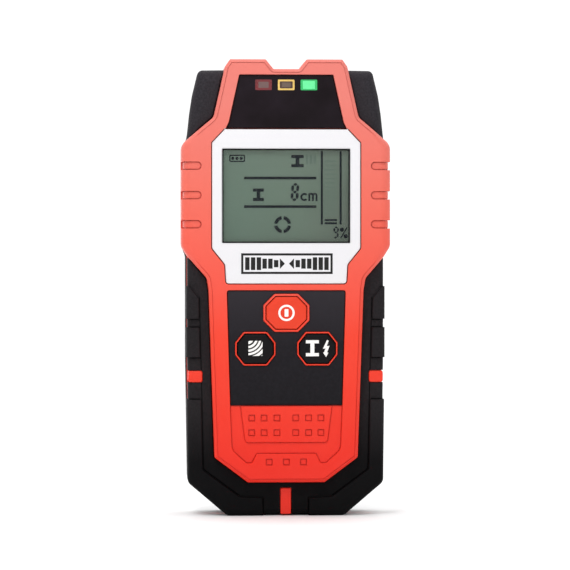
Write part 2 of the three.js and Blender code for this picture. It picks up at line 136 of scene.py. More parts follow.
KEYPAD = [(20.3, -42.4, 0.25), (21.5, -0.8, 0.9)]
TEXTURE = [
    (10.7, -59.8, 0.7),
    (12.4, -63.2, 0.8),
    (14.4, -63.2, 0.8),
    (18.9, -59.1, 0.8),
    (19.7, -57.4, 1.2),
    (20.35, -42.4, 0),
]
ISLAND = [(14.8, -55.7, 1.2), (16.5, -42.4, 0)]
INNER = [
    (8.4, -78.0, 0),
    (8.4, -75.9, 0),
    (16.6, -75.6, 1.5),
    (30.0, -65.7, 1.8),
    (30.6, -38.0, 0),
    (31.3, -10.0, 0),
    (31.6, 2.0, 0),
    (31.6, 90, 0),
]


# ------------------------------------------------------------------ outlines
def both(half):
    return list(half) + [(-x, y, *r) for x, y, *r in reversed(half)]


def fillet(pts, step=11.0, counts=None, note=None):
    """A closed outline of (x, y, radius) with its corners rounded, as (x, y). The number of segments at each corner
    is read from counts if it is given, and written to note if that is."""
    out = []
    n = len(pts)
    for i in range(n):
        x, y, *r = pts[i]
        r = r[0] if r else 0
        b = Vector((x, y))
        a, c = Vector(pts[i - 1][:2]), Vector(pts[(i + 1) % n][:2])
        la, lc = (a - b).length, (c - b).length
        u, v = (a - b) / la, (c - b) / lc
        ang = math.acos(max(-1, min(1, u.dot(v))))
        flat = r <= 0 or math.pi - ang < math.radians(1.0)
        if counts is not None:
            flat = counts[i] == 0
        if flat:
            out.append((x, y))
            if note is not None:
                note.append(0)
            continue
        t = min(r / math.tan(ang / 2), 0.47 * la, 0.47 * lc)
        r = t * math.tan(ang / 2)
        cen = b + (u + v).normalized() * (r / math.sin(ang / 2))
        p0, p1 = b + u * t - cen, b + v * t - cen
        a0 = math.atan2(p0.y, p0.x)
        d = (math.atan2(p1.y, p1.x) - a0 + math.pi) % (2 * math.pi) - math.pi
        k = counts[i] if counts is not None else max(2, round(abs(math.degrees(d)) / step))
        if note is not None:
            note.append(k)
        for j in range(k + 1):
            q = a0 + d * j / k
            out.append((cen.x + r * math.cos(q), cen.y + r * math.sin(q)))
    return out


def split_long(pts, most=6.0):
    """More points along long edges, so that a side's rounding can change along it."""
    out = []
    n = len(pts)
    for i in range(n):
        a, b = Vector(pts[i]), Vector(pts[(i + 1) % n])
        k = max(1, math.ceil((b - a).length / most))
        out += [tuple(a.lerp(b, j / k)) for j in range(k)]
    return out


def normals(pts):
    out = []
    n = len(pts)
    for i in range(n):
        a, b, c = Vector(pts[i - 1]), Vector(pts[i]), Vector(pts[(i + 1) % n])
        u, v = (b - a).normalized(), (c - b).normalized()
        n1, n2 = Vector((u.y, -u.x)), Vector((v.y, -v.x))
        out.append((n1 + n2) / max(0.35, 1 + n1.dot(n2)))
    return out


def shift(pts, d):
    ns = normals(pts)
    return [(p[0] + q.x * d, p[1] + q.y * d) for p, q in zip(pts, ns)]


def rect(w, h, r=0.0, x=0.0, y=0.0, step=15):
    return fillet(
        [
            (x - w / 2, y - h / 2, r),
            (x + w / 2, y - h / 2, r),
            (x + w / 2, y + h / 2, r),
            (x - w / 2, y + h / 2, r),
        ],
        step,
    )


def octagon(b, d=0.0, r=0.5):
    raw = [
        (b["x"] + b["tw"], b["y"] - b["h"]),
        (b["x"] + b["w"], b["y"] - b["th"]),
        (b["x"] + b["w"], b["y"] + b["th"]),
        (b["x"] + b["tw"], b["y"] + b["h"]),
        (b["x"] - b["tw"], b["y"] + b["h"]),
        (b["x"] - b["w"], b["y"] + b["th"]),
        (b["x"] - b["w"], b["y"] - b["th"]),
        (b["x"] - b["tw"], b["y"] - b["h"]),
    ]
    return fillet([(*p, r) for p in shift(raw, d)])


def circle(r, x=0.0, y=0.0, n=48):
    return [
        (x + r * math.cos(2 * math.pi * i / n), y + r * math.sin(2 * math.pi * i / n))
        for i in range(n)
    ]


# ------------------------------------------------------------------ solids
def solid(verts, faces):
    me = bpy.data.meshes.new("solid")
    me.from_pydata([tuple(v) for v in verts], [], faces)
    me.update()
    ob = bpy.data.objects.new("solid", me)
    scene.collection.objects.link(ob)
    return ob


def loft(rings):
    """Rings of the same number of (x, y, z) points, closed with a cap at both ends."""
    n = len(rings[0])
    verts = [p for ring in rings for p in ring]
    faces = [tuple(reversed(range(n)))]
    for k in range(len(rings) - 1):
        for i in range(n):
            j = (i + 1) % n
            faces.append((k * n + i, k * n + j, (k + 1) * n + j, (k + 1) * n + i))
    faces.append(tuple(range((len(rings) - 1) * n, len(rings) * n)))
    return solid(verts, faces)


def stack(pts, profile):
    """An outline swept up a profile of (outward offset, z)."""
    ns = normals(pts)
    return loft(
        [
            [(p[0] + q.x * d, p[1] + q.y * d, z) for p, q in zip(pts, ns)]
            for d, z in profile
        ]
    )


def arc(n, a0=0.0, a1=90.0):
    return [math.radians(a0 + (a1 - a0) * i / n) for i in range(n + 1)]


def body(pts, z0, z1, top=0.0, low=0.0, seg=4):
    """A plate with rounded upper and lower edges."""
    prof = []
    if low:
        prof += [(-low * (1 - math.sin(t)), z0 + low * (1 - math.cos(t))) for t in arc(seg)]
    else:
        prof.append((0, z0))
    if top:
        prof += [(-top * (1 - math.cos(t)), z1 - top * (1 - math.sin(t))) for t in arc(seg)]
    else:
        prof.append((0, z1))
    return stack(pts, prof)


def pocket(pts, z0, z1, flare=0.0, low=0.0, seg=3, over=3.0):
    """A cutter for a recess or hole whose floor is at z0 and whose mouth is rounded off where it meets z1."""
    prof = []
    if low:
        prof += [(-low * (1 - math.sin(t)), z0 + low * (1 - math.cos(t))) for t in arc(seg)]
    else:
        prof.append((0, z0))
    if flare:
        prof += [(flare * (1 - math.cos(t)), z1 - flare + flare * math.sin(t)) for t in arc(seg)]
        prof.append((flare, z1 + over))
    else:
        prof.append((0, z1 + over))
    return stack(pts, prof)


def pocket_down(pts, z0, z1, flare=0.0, seg=3, over=3.0):
    """The same from below: the mouth is at z0, the end at z1."""
    prof = []
    if flare:
        prof.append((flare, z0 - over))
        prof += [
            (flare * (1 - math.cos(t)), z0 + flare - flare * math.sin(t))
            for t in reversed(arc(seg))
        ]
    else:
        prof.append((0, z0 - over))
    prof.append((0, z1))
    return stack(pts, prof)


def box(x0, x1, y0, y1, z0, z1):
    return stack([(x0, y0), (x1, y0), (x1, y1), (x0, y1)], [(0, z0), (0, z1)])


def turned(profile, x, y, n=40):
    """A turned piece on an axis along z; the profile runs from the lower end up, its first and last radius are 0."""
    verts, faces = [], []
    inner = profile[1:-1]
    verts.append((x, y, profile[0][1]))
    for r, z in inner:
        for i in range(n):
            a = 2 * math.pi * i / n
            verts.append((x + r * math.cos(a), y + r * math.sin(a), z))
    verts.append((x, y, profile[-1][1]))
    for i in range(n):
        j = (i + 1) % n
        faces.append((0, 1 + j, 1 + i))
        for k in range(len(inner) - 1):
            a, b = 1 + k * n, 1 + (k + 1) * n
            faces.append((a + i, a + j, b + j, b + i))
        last = 1 + (len(inner) - 1) * n
        faces.append((last + i, last + j, len(verts) - 1))
    return solid(verts, faces)


def combine(a, op, *others):
    for b in others:
        m = a.modifiers.new("b", "BOOLEAN")
        m.operation = op
        m.solver = "MANIFOLD"
        m.object = b
        dg = bpy.context.evaluated_depsgraph_get()
        me = bpy.data.meshes.new_from_object(a.evaluated_get(dg))
        if not len(me.polygons):
            raise RuntimeError("a boolean left nothing")
        a.modifiers.clear()
        old, a.data = a.data, me
        bpy.data.meshes.remove(old)
        bpy.data.objects.remove(b)
    return a


def cut(a, *others):
    return combine(a, "DIFFERENCE", *others)


def join(a, *others):
    return combine(a, "UNION", *others)


def keep(a, *others):
    return combine(a, "INTERSECT", *others)


def copy_of(ob):
    c = ob.copy()
    c.data = ob.data.copy()
    scene.collection.objects.link(c)
    return c


def winding(p, ring):
    """How many times a flat ring goes round a point."""
    n = 0
    for a, b in zip(ring, ring[1:] + ring[:1]):
        side = (b - a).cross(p - a)
        if a.y <= p.y < b.y and side > 0:
            n += 1
        elif b.y <= p.y < a.y and side < 0:
            n -= 1
    return n


def first_crossing(pts, near=2e-4):
    """The first two sides of a ring that cross, with where, apart from sides that only meet at corners."""
    n = len(pts)
    for i in range(n):
        for j in range(i + 2, n):
            if i == 0 and j == n - 1:
                continue
            ends = (pts[i], pts[(i + 1) % n], pts[j], pts[(j + 1) % n])
            x = intersect_line_line_2d(*ends)
            if x and not (
                min((x - ends[0]).length, (x - ends[1]).length) < near
                and min((x - ends[2]).length, (x - ends[3]).length) < near
            ):
                return i, j, x
    return None


def corner_at(edge, start, a, b, x, near=2e-4):
    """The vertex of an edge that lies at x, made there if it has none."""
    if (x - a).length < near:
        return start
    if (x - b).length < near:
        return edge.other_vert(start)
    return bmesh.utils.edge_split(edge, start, (x - a).length / (b - a).length)[1]


def mend(bm):
    """Cuts each face whose outline crosses itself at the crossings, and fills it with triangles that cover it once."""
    bm.normal_update()
    bm.faces.index_update()
    covered = {}
    for a, b, c in bm.calc_loop_triangles():
        area = (b.vert.co - a.vert.co).cross(c.vert.co - a.vert.co).length / 2
        covered[a.face.index] = covered.get(a.face.index, 0) + area
    bad = [f for f in bm.faces if len(f.verts) > 3 and covered[f.index] > f.calc_area() * 1.004 + 0.004]
    for f in bad:
        turn = f.normal.to_track_quat("Z", "Y").inverted()
        welds = {}
        for _ in range(24):
            loops = list(f.loops)
            pts = [(turn @ c.vert.co).to_2d() for c in loops]
            hit = first_crossing(pts)
            if not hit:
                break
            i, j, x = hit
            sides = [(loops[k].edge, loops[k].vert, pts[k], pts[(k + 1) % len(pts)]) for k in (i, j)]
            first, second = [corner_at(*side, x) for side in sides]
            if first is not second:
                welds[second] = first
                second.co = first.co
        ring = [c.vert for c in f.loops]
        normal = f.normal.copy()
        bm.faces.remove(f)
        ring = [welds.get(v, v) for v in ring]
        if welds:
            bmesh.ops.weld_verts(bm, targetmap=welds)
        ring = [v for k, v in enumerate(ring) if v is not ring[k - 1]]
        corners = list(dict.fromkeys(ring))
        at = {v: k for k, v in enumerate(corners)}
        flat = [(turn @ v.co).to_2d() for v in corners]
        outline = [(turn @ v.co).to_2d() for v in ring]
        sides = [(at[ring[k - 1]], at[ring[k]]) for k in range(len(ring))]
        made, _, tris, origins = delaunay_2d_cdt(flat, sides, [], 0, 1e-6, True)[:4]
        for t in tris:
            n = winding((made[t[0]] + made[t[1]] + made[t[2]]) / 3, outline)
            picked = [corners[origins[k][0]] for k in t if origins[k]]
            if not n or len(set(picked)) < 3:
                continue
            if (picked[1].co - picked[0].co).cross(picked[2].co - picked[0].co).dot(normal) * n < 0:
                picked.reverse()
            if not bm.faces.get(picked):
                bm.faces.new(picked)


def finish_piece(ob, name, material, body_name="case", stands_for=(), smooth=30.0, bevel=0.0):
    """Cleans the mesh, moves it to the row frame, and gives it its shading, material and body."""
    bm = bmesh.new()
    bm.from_mesh(ob.data)
    bmesh.ops.remove_doubles(bm, verts=bm.verts, dist=0.0008)
    bmesh.ops.dissolve_degenerate(bm, edges=bm.edges, dist=0.0008)
    mend(bm)
    slits = [e for e in bm.edges if len(e.link_faces) == 1]
    if slits:
        bmesh.ops.holes_fill(bm, edges=slits, sides=16)
        bmesh.ops.delete(bm, geom=[e for e in bm.edges if not e.link_faces], context="EDGES")
        bmesh.ops.delete(bm, geom=[v for v in bm.verts if not v.link_edges], context="VERTS")
    bm.to_mesh(ob.data)
    bm.free()
    if bevel:
        m = ob.modifiers.new("bevel", "BEVEL")
        m.width = bevel
        m.segments = 2
        m.limit_method = "ANGLE"
        m.angle_limit = math.radians(38)
        m.use_clamp_overlap = True
        dg = bpy.context.evaluated_depsgraph_get()
        me = bpy.data.meshes.new_from_object(ob.evaluated_get(dg))
        ob.modifiers.clear()
        ob.data = me
    me = ob.data
    me.transform(TO_ROW)
    me.materials.clear()
    me.materials.append(material)
    for p in me.polygons:
        p.use_smooth = True
    me.set_sharp_from_angle(angle=math.radians(smooth))
    w = ob.modifiers.new("weighted", "WEIGHTED_NORMAL")
    w.keep_sharp = True
    w.weight = 60
    ob.name = me.name = name
    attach(ob, body_name)
    if stands_for:
        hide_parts(*([stands_for] if isinstance(stands_for, str) else stands_for))
    return ob


# ------------------------------------------------------------------ materials
def srgb(r, g, b):
    return tuple(
        (c / 255 / 12.92) if c / 255 <= 0.04045 else ((c / 255 + 0.055) / 1.055) ** 2.4
        for c in (r, g, b)
    ) + (1.0,)


class Mat:
    """A small helper round a node tree: every material reads the object's own coordinates, in metres."""

    def __init__(self, name, **sockets):
        self.m = bpy.data.materials.new(name)
        self.m.use_nodes = True
        self.t = self.m.node_tree
        self.p = self.t.nodes["Principled BSDF"]
        self.co = self.t.nodes.new("ShaderNodeTexCoord").outputs["Object"]
        for k, v in sockets.items():
            self.p.inputs[k.replace("_", " ")].default_value = v

    def noise(self, scale, detail=3.0, rough=0.5, dist=0.0, stretch=None):
        co = self.co
        if stretch:
            mp = self.t.nodes.new("ShaderNodeMapping")
            mp.inputs["Scale"].default_value = stretch
            self.t.links.new(co, mp.inputs["Vector"])
            co = mp.outputs[0]
        n = self.t.nodes.new("ShaderNodeTexNoise")
        n.inputs["Scale"].default_value = scale
        n.inputs["Detail"].default_value = detail
        n.inputs["Roughness"].default_value = rough
        n.inputs["Distortion"].default_value = dist
        self.t.links.new(co, n.inputs["Vector"])
        return n.outputs["Fac"]

    def ramp(self, fac, stops):
        n = self.t.nodes.new("ShaderNodeValToRGB")
        e = n.color_ramp.elements
        while len(e) < len(stops):
            e.new(0.5)
        for i, (at, c) in enumerate(stops):
            e[i].position = at
            e[i].color = c if len(c) == 4 else (*c, 1)
        self.t.links.new(fac, n.inputs["Fac"])
        return n.outputs["Color"]

    def span(self, fac, a, b, lo, hi):
        n = self.t.nodes.new("ShaderNodeMapRange")
        for k, v in zip(("From Min", "From Max", "To Min", "To Max"), (a, b, lo, hi)):
            n.inputs[k].default_value = v
        self.t.links.new(fac, n.inputs["Value"])
        return n.outputs["Result"]

    def math(self, op, a, b):
        n = self.t.nodes.new("ShaderNodeMath")
        n.operation = op
        for i, v in enumerate((a, b)):
            if isinstance(v, (int, float)):
                n.inputs[i].default_value = v
            else:
                self.t.links.new(v, n.inputs[i])
        return n.outputs[0]

    def mix(self, fac, a, b, mode="MIX"):
        n = self.t.nodes.new("ShaderNodeMix")
        n.data_type = "RGBA"
        n.blend_type = mode
        for sock, v in ((n.inputs[0], fac), (n.inputs[6], a), (n.inputs[7], b)):
            if isinstance(v, (int, float)):
                sock.default_value = v
            elif isinstance(v, tuple):
                sock.default_value = v
            else:
                self.t.links.new(v, sock)
        return n.outputs[2]

    def color(self, out):
        self.t.links.new(out, self.p.inputs["Base Color"])
        return self

    def rough(self, out):
        self.t.links.new(out, self.p.inputs["Roughness"])
        return self

    def bump(self, *layers):
        """layers of (height output, strength, distance in mm), chained."""
        normal = None
        for height, strength, mm in layers:
            b = self.t.nodes.new("ShaderNodeBump")
            b.inputs["Strength"].default_value = strength
            b.inputs["Distance"].default_value = mm / 1000
            self.t.links.new(height, b.inputs["Height"])
            if normal is not None:
                self.t.links.new(normal, b.inputs["Normal"])
            normal = b.outputs[0]
        self.t.links.new(normal, self.p.inputs["Normal"])
        return self

    def axis(self, i):
        n = self.t.nodes.new("ShaderNodeSeparateXYZ")
        self.t.links.new(self.co, n.inputs[0])
        return n.outputs[i]


def plastic(name, base, rough=0.42, grain=0.10, vary=0.06, spec=0.5, scale=2600, coarse=0.0):
    """Moulded plastic: spark-eroded grain, slight flow marks in the colour, rub marks in the gloss."""
    m = Mat(name, Roughness=rough, Specular_IOR_Level=spec)
    dark = tuple(c * (1 - vary) for c in base[:3]) + (1,)
    light = tuple(min(1, c * (1 + vary)) for c in base[:3]) + (1,)
    m.color(m.ramp(m.noise(38, 4, 0.55), [(0.32, dark), (0.68, light)]))
    m.rough(m.span(m.noise(160, 5, 0.6), 0.3, 0.7, rough - 0.05, rough + 0.06))
    layers = [(m.noise(scale, 2, 0.6), grain, 0.03)]
    if coarse:
        layers.append((m.noise(scale / 5, 2, 0.5), coarse, 0.06))
    m.bump(*layers)
    return m.m




def orange_material():
    m = Mat("orange_abs", Roughness=0.38, Specular_IOR_Level=0.32)
    # Base colour is paler and pinker towards the top and deeper red towards the bottom: a painted sheen of the light
    # from above, with painted shade below; the moulding itself is one colour.
    up = m.span(m.axis(2), 0.02, 0.15, 0, 1)
    base = m.ramp(up, [(0.0, srgb(232, 34, 8)), (0.35, srgb(233, 58, 32)), (0.48, srgb(231, 78, 60)), (0.75, srgb(226, 103, 87)), (1.0, srgb(219, 118, 107))])
    m.color(m.mix(m.span(m.noise(42, 4, 0.55), 0.35, 0.7, 0.0, 0.08), base, srgb(238, 92, 78)))
    m.rough(m.span(m.noise(160, 5, 0.6), 0.3, 0.7, 0.33, 0.43))
    m.bump((m.noise(3000, 2, 0.6), 0.16, 0.03), (m.noise(600, 2, 0.5), 0.05, 0.06))
    return m.m


ORANGE = orange_material()
ORANGE_KEY = plastic("orange_key", srgb(224, 58, 28), 0.36, 0.12, 0.03, 0.28, 3600)
BLACK = plastic("black_abs", srgb(22, 20, 23), 0.46, 0.22, 0.10, 0.15, 2600, 0.06)


def panel_material():
    m = Mat("keypad_black", Roughness=0.5, Specular_IOR_Level=0.12)
    # Darker towards the bottom and lighter towards the top: painted shade below and painted light above.
    up = m.span(m.axis(2), 0.04, 0.082, 0, 1)
    base = m.ramp(up, [(0.0, srgb(18, 16, 20)), (0.5, srgb(24, 21, 26)), (1.0, srgb(44, 40, 45))])
    m.color(m.mix(m.span(m.noise(900, 3, 0.6), 0.35, 0.7, 0.0, 0.25), base, srgb(40, 38, 44)))
    m.rough(m.span(m.noise(200, 4, 0.6), 0.3, 0.7, 0.44, 0.56))
    m.bump((m.noise(5200, 2, 0.6), 0.14, 0.03))
    return m.m


PANEL = panel_material()
KEY_BLACK = plastic("key_black", srgb(12, 10, 12), 0.42, 0.14, 0.08, 0.12, 4200)


def rubber_material():
    m = Mat("rubber_grip", Roughness=0.5, Specular_IOR_Level=0.08)
    # Darker towards the bottom and lighter towards the top: painted shade below and painted light above; the fine
    # noise mixed in is the rubber's own mottled grain.
    m.color(
        m.mix(
            m.span(m.noise(1400, 3, 0.7), 0.35, 0.72, 0.5, 1),
            srgb(12, 11, 12),
            m.ramp(m.span(m.axis(2), 0.0, 0.16, 0, 1), [(0.0, srgb(3, 3, 4)), (0.12, srgb(8, 7, 9)), (0.24, srgb(40, 37, 39)), (0.45, srgb(40, 37, 39)), (1.0, srgb(54, 51, 56))]),
        )
    )
    m.rough(m.span(m.noise(220, 4, 0.6), 0.3, 0.7, 0.52, 0.68))
    m.bump((m.noise(2600, 3, 0.7), 0.32, 0.06), (m.noise(700, 2, 0.5), 0.06, 0.08))
    return m.m


RUBBER = rubber_material()


def lens_material():
    m = Mat("smoked_lens", Roughness=0.09, Specular_IOR_Level=0.13)
    m.color(m.ramp(m.noise(60, 3, 0.5), [(0.35, srgb(20, 13, 17)), (0.7, srgb(34, 26, 33))]))
    m.rough(m.span(m.noise(500, 6, 0.7, stretch=(1, 1, 0.25)), 0.45, 0.8, 0.05, 0.16))
    m.bump((m.noise(70, 2, 0.5), 0.04, 0.2))
    return m.m


LENS_MAT = lens_material()


def bezel_material():
    m = Mat("silver_plate", Roughness=0.38, Metallic=0.0, Specular_IOR_Level=0.5)
    fine = m.noise(5200, 2, 0.6)
    m.color(
        m.mix(
            m.span(fine, 0.52, 0.72, 0, 1),
            srgb(224, 223, 226),
            m.ramp(m.noise(2600, 2, 0.5), [(0.35, srgb(210, 211, 217)), (0.7, srgb(235, 232, 231))]),
        )
    )
    m.rough(m.span(fine, 0.3, 0.7, 0.28, 0.46))
    m.bump((m.noise(4200, 2, 0.6), 0.08, 0.02))
    return m.m


SILVER = bezel_material()


def lcd_material():
    m = Mat("lcd_glass", Roughness=0.34, Specular_IOR_Level=0.25)
    # Darker towards the bottom of the display: painted shade.
    up = m.span(m.axis(2), 0.098, 0.134, 0, 1)
    base = m.ramp(up, [(0.0, srgb(88, 106, 93)), (0.55, srgb(95, 113, 99)), (1.0, srgb(106, 122, 109))])
    # Darker towards the right side: painted shade, mixed by noise with the vertical painted shade.
    side = m.span(m.axis(0), -0.023, 0.023, 0, 1)
    side_shade = m.ramp(side, [(0.0, srgb(97, 119, 106)), (0.6, srgb(102, 118, 105)), (1.0, srgb(88, 95, 86))])
    m.color(m.mix(m.span(m.noise(55, 3, 0.5), 0.3, 0.7, 0.25, 0.75), base, side_shade))
    m.bump((m.noise(900, 2, 0.5), 0.03, 0.02))
    return m.m


LCD = lcd_material()


def simple(name, base, rough=0.5, vary=0.08, scale=900, grain=0.08, metal=0.0, spec=0.5, **more):
    m = Mat(name, Roughness=rough, Metallic=metal, Specular_IOR_Level=spec, **more)
    dark = tuple(c * (1 - vary) for c in base[:3]) + (1,)
    light = tuple(min(1, c * (1 + vary)) for c in base[:3]) + (1,)
    m.color(m.ramp(m.noise(scale / 6, 3, 0.6), [(0.3, dark), (0.7, light)]))
    m.rough(m.span(m.noise(scale / 3, 3, 0.6), 0.3, 0.7, max(0.03, rough - 0.06), rough + 0.06))
    m.bump((m.noise(scale, 2, 0.6), grain, 0.03))
    return m


SEGMENT = simple("lcd_segment", srgb(8, 14, 24), 0.4, 0.1, 700, 0.02, spec=0.2).m
GHOST = simple("lcd_ghost", srgb(90, 106, 96), 0.4, 0.03, 700, 0.02, spec=0.2).m
PRINT_BLACK = simple("black_print", srgb(14, 12, 13), 0.45, 0.1, 2500, 0.05, spec=0.3).m
# Dark red for the gap floors round the bezel, keypad panel and lens: painted shade standing for the shadow in these
# gaps.
GAP_SHADE = simple("dark_seam", srgb(52, 12, 10), 0.8, 0.1, 2500, 0.05, spec=0.1).m
PRINT_WHITE = simple("white_print", srgb(242, 240, 236), 0.5, 0.02, 2500, 0.05).m
FELT = simple("felt", srgb(44, 43, 46), 0.95, 0.25, 5200, 0.8, spec=0.1).m
STEEL = simple("zinc_steel", srgb(168, 168, 170), 0.3, 0.05, 4200, 0.08, metal=1.0).m
COPPER = simple("copper_wire", srgb(190, 104, 62), 0.32, 0.08, 1600, 0.1, metal=1.0).m
BOARD = simple("solder_mask", srgb(20, 92, 52), 0.3, 0.18, 1500, 0.06).m
EPOXY = simple("epoxy_black", srgb(30, 30, 32), 0.5, 0.1, 3000, 0.12).m
FOAM = simple("foam", srgb(52, 52, 54), 0.9, 0.3, 4200, 0.9, spec=0.1).m
MILKY = simple("milky_guide", srgb(232, 232, 224), 0.4, 0.02, 900, 0.03).m
LABEL = simple("plain_label", srgb(188, 190, 192), 0.42, 0.03, 3800, 0.05, metal=0.35).m
LABEL_LINE = simple("label_line", srgb(92, 94, 97), 0.5, 0.05, 3800, 0.03).m
CELL = simple("cell_jacket", srgb(52, 55, 61), 0.34, 0.08, 1200, 0.04, metal=0.4).m
CELL_BAND = simple("cell_band", srgb(176, 122, 62), 0.34, 0.08, 1200, 0.04, metal=0.5).m
RED_WIRE = simple("red_wire", srgb(160, 24, 22), 0.45, 0.08, 1400, 0.05).m
BLACK_WIRE = simple("black_wire", srgb(26, 26, 27), 0.45, 0.1, 1400, 0.05).m


def lamp(name, base, glow, strength, rough=0.3):
    m = simple(name, base, rough, 0.12, 1400, 0.05)
    m.p.inputs["Emission Color"].default_value = glow
    m.p.inputs["Emission Strength"].default_value = strength
    return m.m


RED_FRAME = lamp("red_lamp_frame", srgb(100, 14, 22), srgb(150, 26, 34), 0.06)
RED_CORE = lamp("red_lamp_core", srgb(98, 72, 70), srgb(120, 90, 92), 0.04)
AMBER_FRAME = lamp("amber_lamp_frame", srgb(214, 178, 92), srgb(228, 196, 110), 0.12)
AMBER_DARK = lamp("amber_lamp_dark", srgb(60, 34, 24), srgb(60, 36, 24), 0.05)
AMBER_CORE = lamp("amber_lamp_core", srgb(92, 74, 62), srgb(140, 118, 104), 0.04)
GREEN_FRAME = lamp("green_lamp_frame", srgb(24, 150, 80), srgb(40, 190, 100), 0.35)
GREEN_CORE = lamp("green_lamp_core", srgb(70, 190, 120), srgb(120, 235, 165), 0.45)


def window_material():
    m = Mat("clear_window", Roughness=0.04, Specular_IOR_Level=0.5, Alpha=0.045)
    m.color(m.ramp(m.noise(80, 2, 0.5), [(0.3, srgb(60, 66, 62)), (0.7, srgb(70, 76, 72))]))
    m.bump((m.noise(60, 2, 0.5), 0.03, 0.2))
    return m.m


WINDOW = window_material()

# ------------------------------------------------------------------ front shell


class Outline:
    """A rounded outline that can be offset without its small corners turning inside out; every ring it gives has
    the same number of points, so that rings can be lofted."""

    def __init__(self, half, step=9, most=6.0):
        self.raw = both(half)
        self.step = step
        self.counts = None
        note = []
        base = fillet(self.raw, step, None, note)
        self.counts = note
        n = len(base)
        self.parts = [
            max(1, math.ceil((Vector(base[(i + 1) % n]) - Vector(base[i])).length / most))
            for i in range(n)
        ]

    def corners(self, d):
        raw = self.raw
        moved = shift([(p[0], p[1]) for p in raw], d)
        out = []
        n = len(raw)
        for i in range(n):
            a, b, c = Vector(raw[i - 1][:2]), Vector(raw[i][:2]), Vector(raw[(i + 1) % n][:2])
            convex = (b - a).cross(c - b) > 0
            r = raw[i][2]
            out.append((*moved[i], max(0.1, r + (d if convex else -d)) if r > 0 else 0))
        return fillet(out, self.step, self.counts)

    def ring(self, d=0.0):
        pts = self.corners(d)
        out = []
        n = len(pts)
        for i in range(n):
            a, b = Vector(pts[i]), Vector(pts[(i + 1) % n])
            out += [tuple(a.lerp(b, j / self.parts[i])) for j in range(self.parts[i])]
        return out

    def stack(self, profile):
        return loft([[(x, y, z) for x, y in self.ring(d)] for d, z in profile])


frame_line = Outline(FRAME, 9, 5.0)
body_line = Outline(BODY, 9, 7.0)
rear_line = Outline(REAR, 9, 7.0)


def blended(line, base, few, many, share):
    """Rings of a line offset by (few) or by (many), mixed point by point by share(x, y)."""
    rings = []
    ground = line.ring(base)
    w = [share(x, y) for x, y in ground]
    for (d0, z0), (d1, z1) in zip(few, many):
        a, b = line.ring(base + d0), line.ring(base + d1)
        rings.append(
            [
                (p[0] * (1 - k) + q[0] * k, p[1] * (1 - k) + q[1] * k, z0 * (1 - k) + z1 * k)
                for p, q, k in zip(a, b, w)
            ]
        )
    return rings


def rounding(rh, rv, z1, seg=6):
    return [(-rh * (1 - math.cos(t)), z1 - rv * (1 - math.sin(t))) for t in arc(seg)]


def ease(v, a, b):
    t = max(0.0, min(1.0, (v - a) / (b - a)))
    return t * t * (3 - 2 * t)


def frame_solid(z0, z1, inset=0.0):
    """The frame: a chamfer round the nose and the lower part that turns into fully rounded grips."""
    chamfer = [(0, z1 - 1.0), (-0.03, z1 - 0.92), (-0.12, z1 - 0.8), (-0.8, z1 - 0.14), (-0.92, z1 - 0.04), (-1.05, z1 - 0.005), (-1.2, z1)]
    grip = rounding(3.7, 3.1, z1)
    share = lambda x, y: ease(abs(x), 29.5, 37.2) if y > 2 else 0.0
    return loft([[(x, y, z0) for x, y in frame_line.ring(-inset)]] + blended(frame_line, -inset, chamfer, grip, share))


front = frame_solid(14.04, Z_TOP)
# finger grooves that follow the rounded grips, open at the outer edge, each with a fine line round it


def slab_below(depth):
    whole = box(-60, 60, 10, 60, 17, 40)
    return cut(whole, frame_solid(10, Z_TOP - depth, depth))


def pill(side, gy, inset):
    x0, h = side * (30.6 + inset), 1.5 - inset
    pts = [(x0, gy - h, h - 0.02), (side * 44, gy - h, 0), (side * 44, gy + h, 0), (x0, gy + h, h - 0.02)]
    return stack(fillet(pts[::side], 12), [(0, 16 + inset), (0, 40)])


shallow, deep = slab_below(0.7), slab_below(1.35)
for side in (1, -1):
    for gy in GRIP_Y:
        front = cut(front, keep(copy_of(shallow), pill(side, gy, 0)))
        front = cut(front, cut(keep(copy_of(deep), pill(side, gy, 0)), pill(side, gy, 0.34)))
bpy.data.objects.remove(shallow)
bpy.data.objects.remove(deep)

front = join(front, body_line.stack([(-2.3, 14.04), (-2.3, 25.4)]))
front = join(front, body_line.stack([(-0.5, 14.04), (-0.4, 14.14), (-0.4, 16.25), (-0.55, 16.4)]))
for side in (1, -1):
    tab = rect(5.1, 4.1, 0.75, side * 32.75, -32.05)
    front = join(front, body(tab, 15, Z_BAND - 0.05, 0.35))
front = join(front, body(rect(3.8, 9.4, 0.45, 0, -77.2), 15, Z_BAND - 0.05, 0.35))
# inside
front = cut(front, body_line.stack([(-4.4, 14), (-4.4, 23.4)]))
front = cut(
    front,
    stack(
        fillet(
            both([(12.5, -67.5, 1), (23.4, -59.5, 1), (25.7, -0.7, 4), (26.6, 4.6, 2), (35.0, 14, 2), (35.0, 50.6, 2), (30.5, 54, 2)])
        ),
        [(0, 14), (0, 29)],
    ),
)
front = cut(front, stack(fillet(both([(29.2, 50, 0), (29.2, 56, 1), (24, 60.2, 1), (23.2, 64, 1), (20.4, 76, 1)])), [(0, 14), (0, 27.6)]))
# seats
front = cut(front, pocket(fillet(both(LENS)), 28.8, Z_TOP, 0.22))
front = cut(front, pocket(fillet(both(BEZEL)), Z_FLOOR, Z_TOP, 0.2))
front = cut(front, pocket(fillet(both(KEYPAD)), Z_FLOOR, Z_TOP, 0.25))
for half, z in ((BEZEL, 29.35), (KEYPAD, 29.35), (LENS, 28.2)):
    out = fillet(both(half))
    seam = stack(out, [(0, z), (0, 40)])
    front = cut(front, cut(seam, stack(shift(out, -0.6), [(0, z - 1), (0, 41)])))
front = cut(front, stack(rect(48, 35.8, 0.5, 0, LCD_Y), [(0, 26), (0, 40)]))
for x in LED_X:
    front = cut(front, stack(rect(6.2, 4, 0.3, x, LED_Y), [(0, 26), (0, 29.5)]))
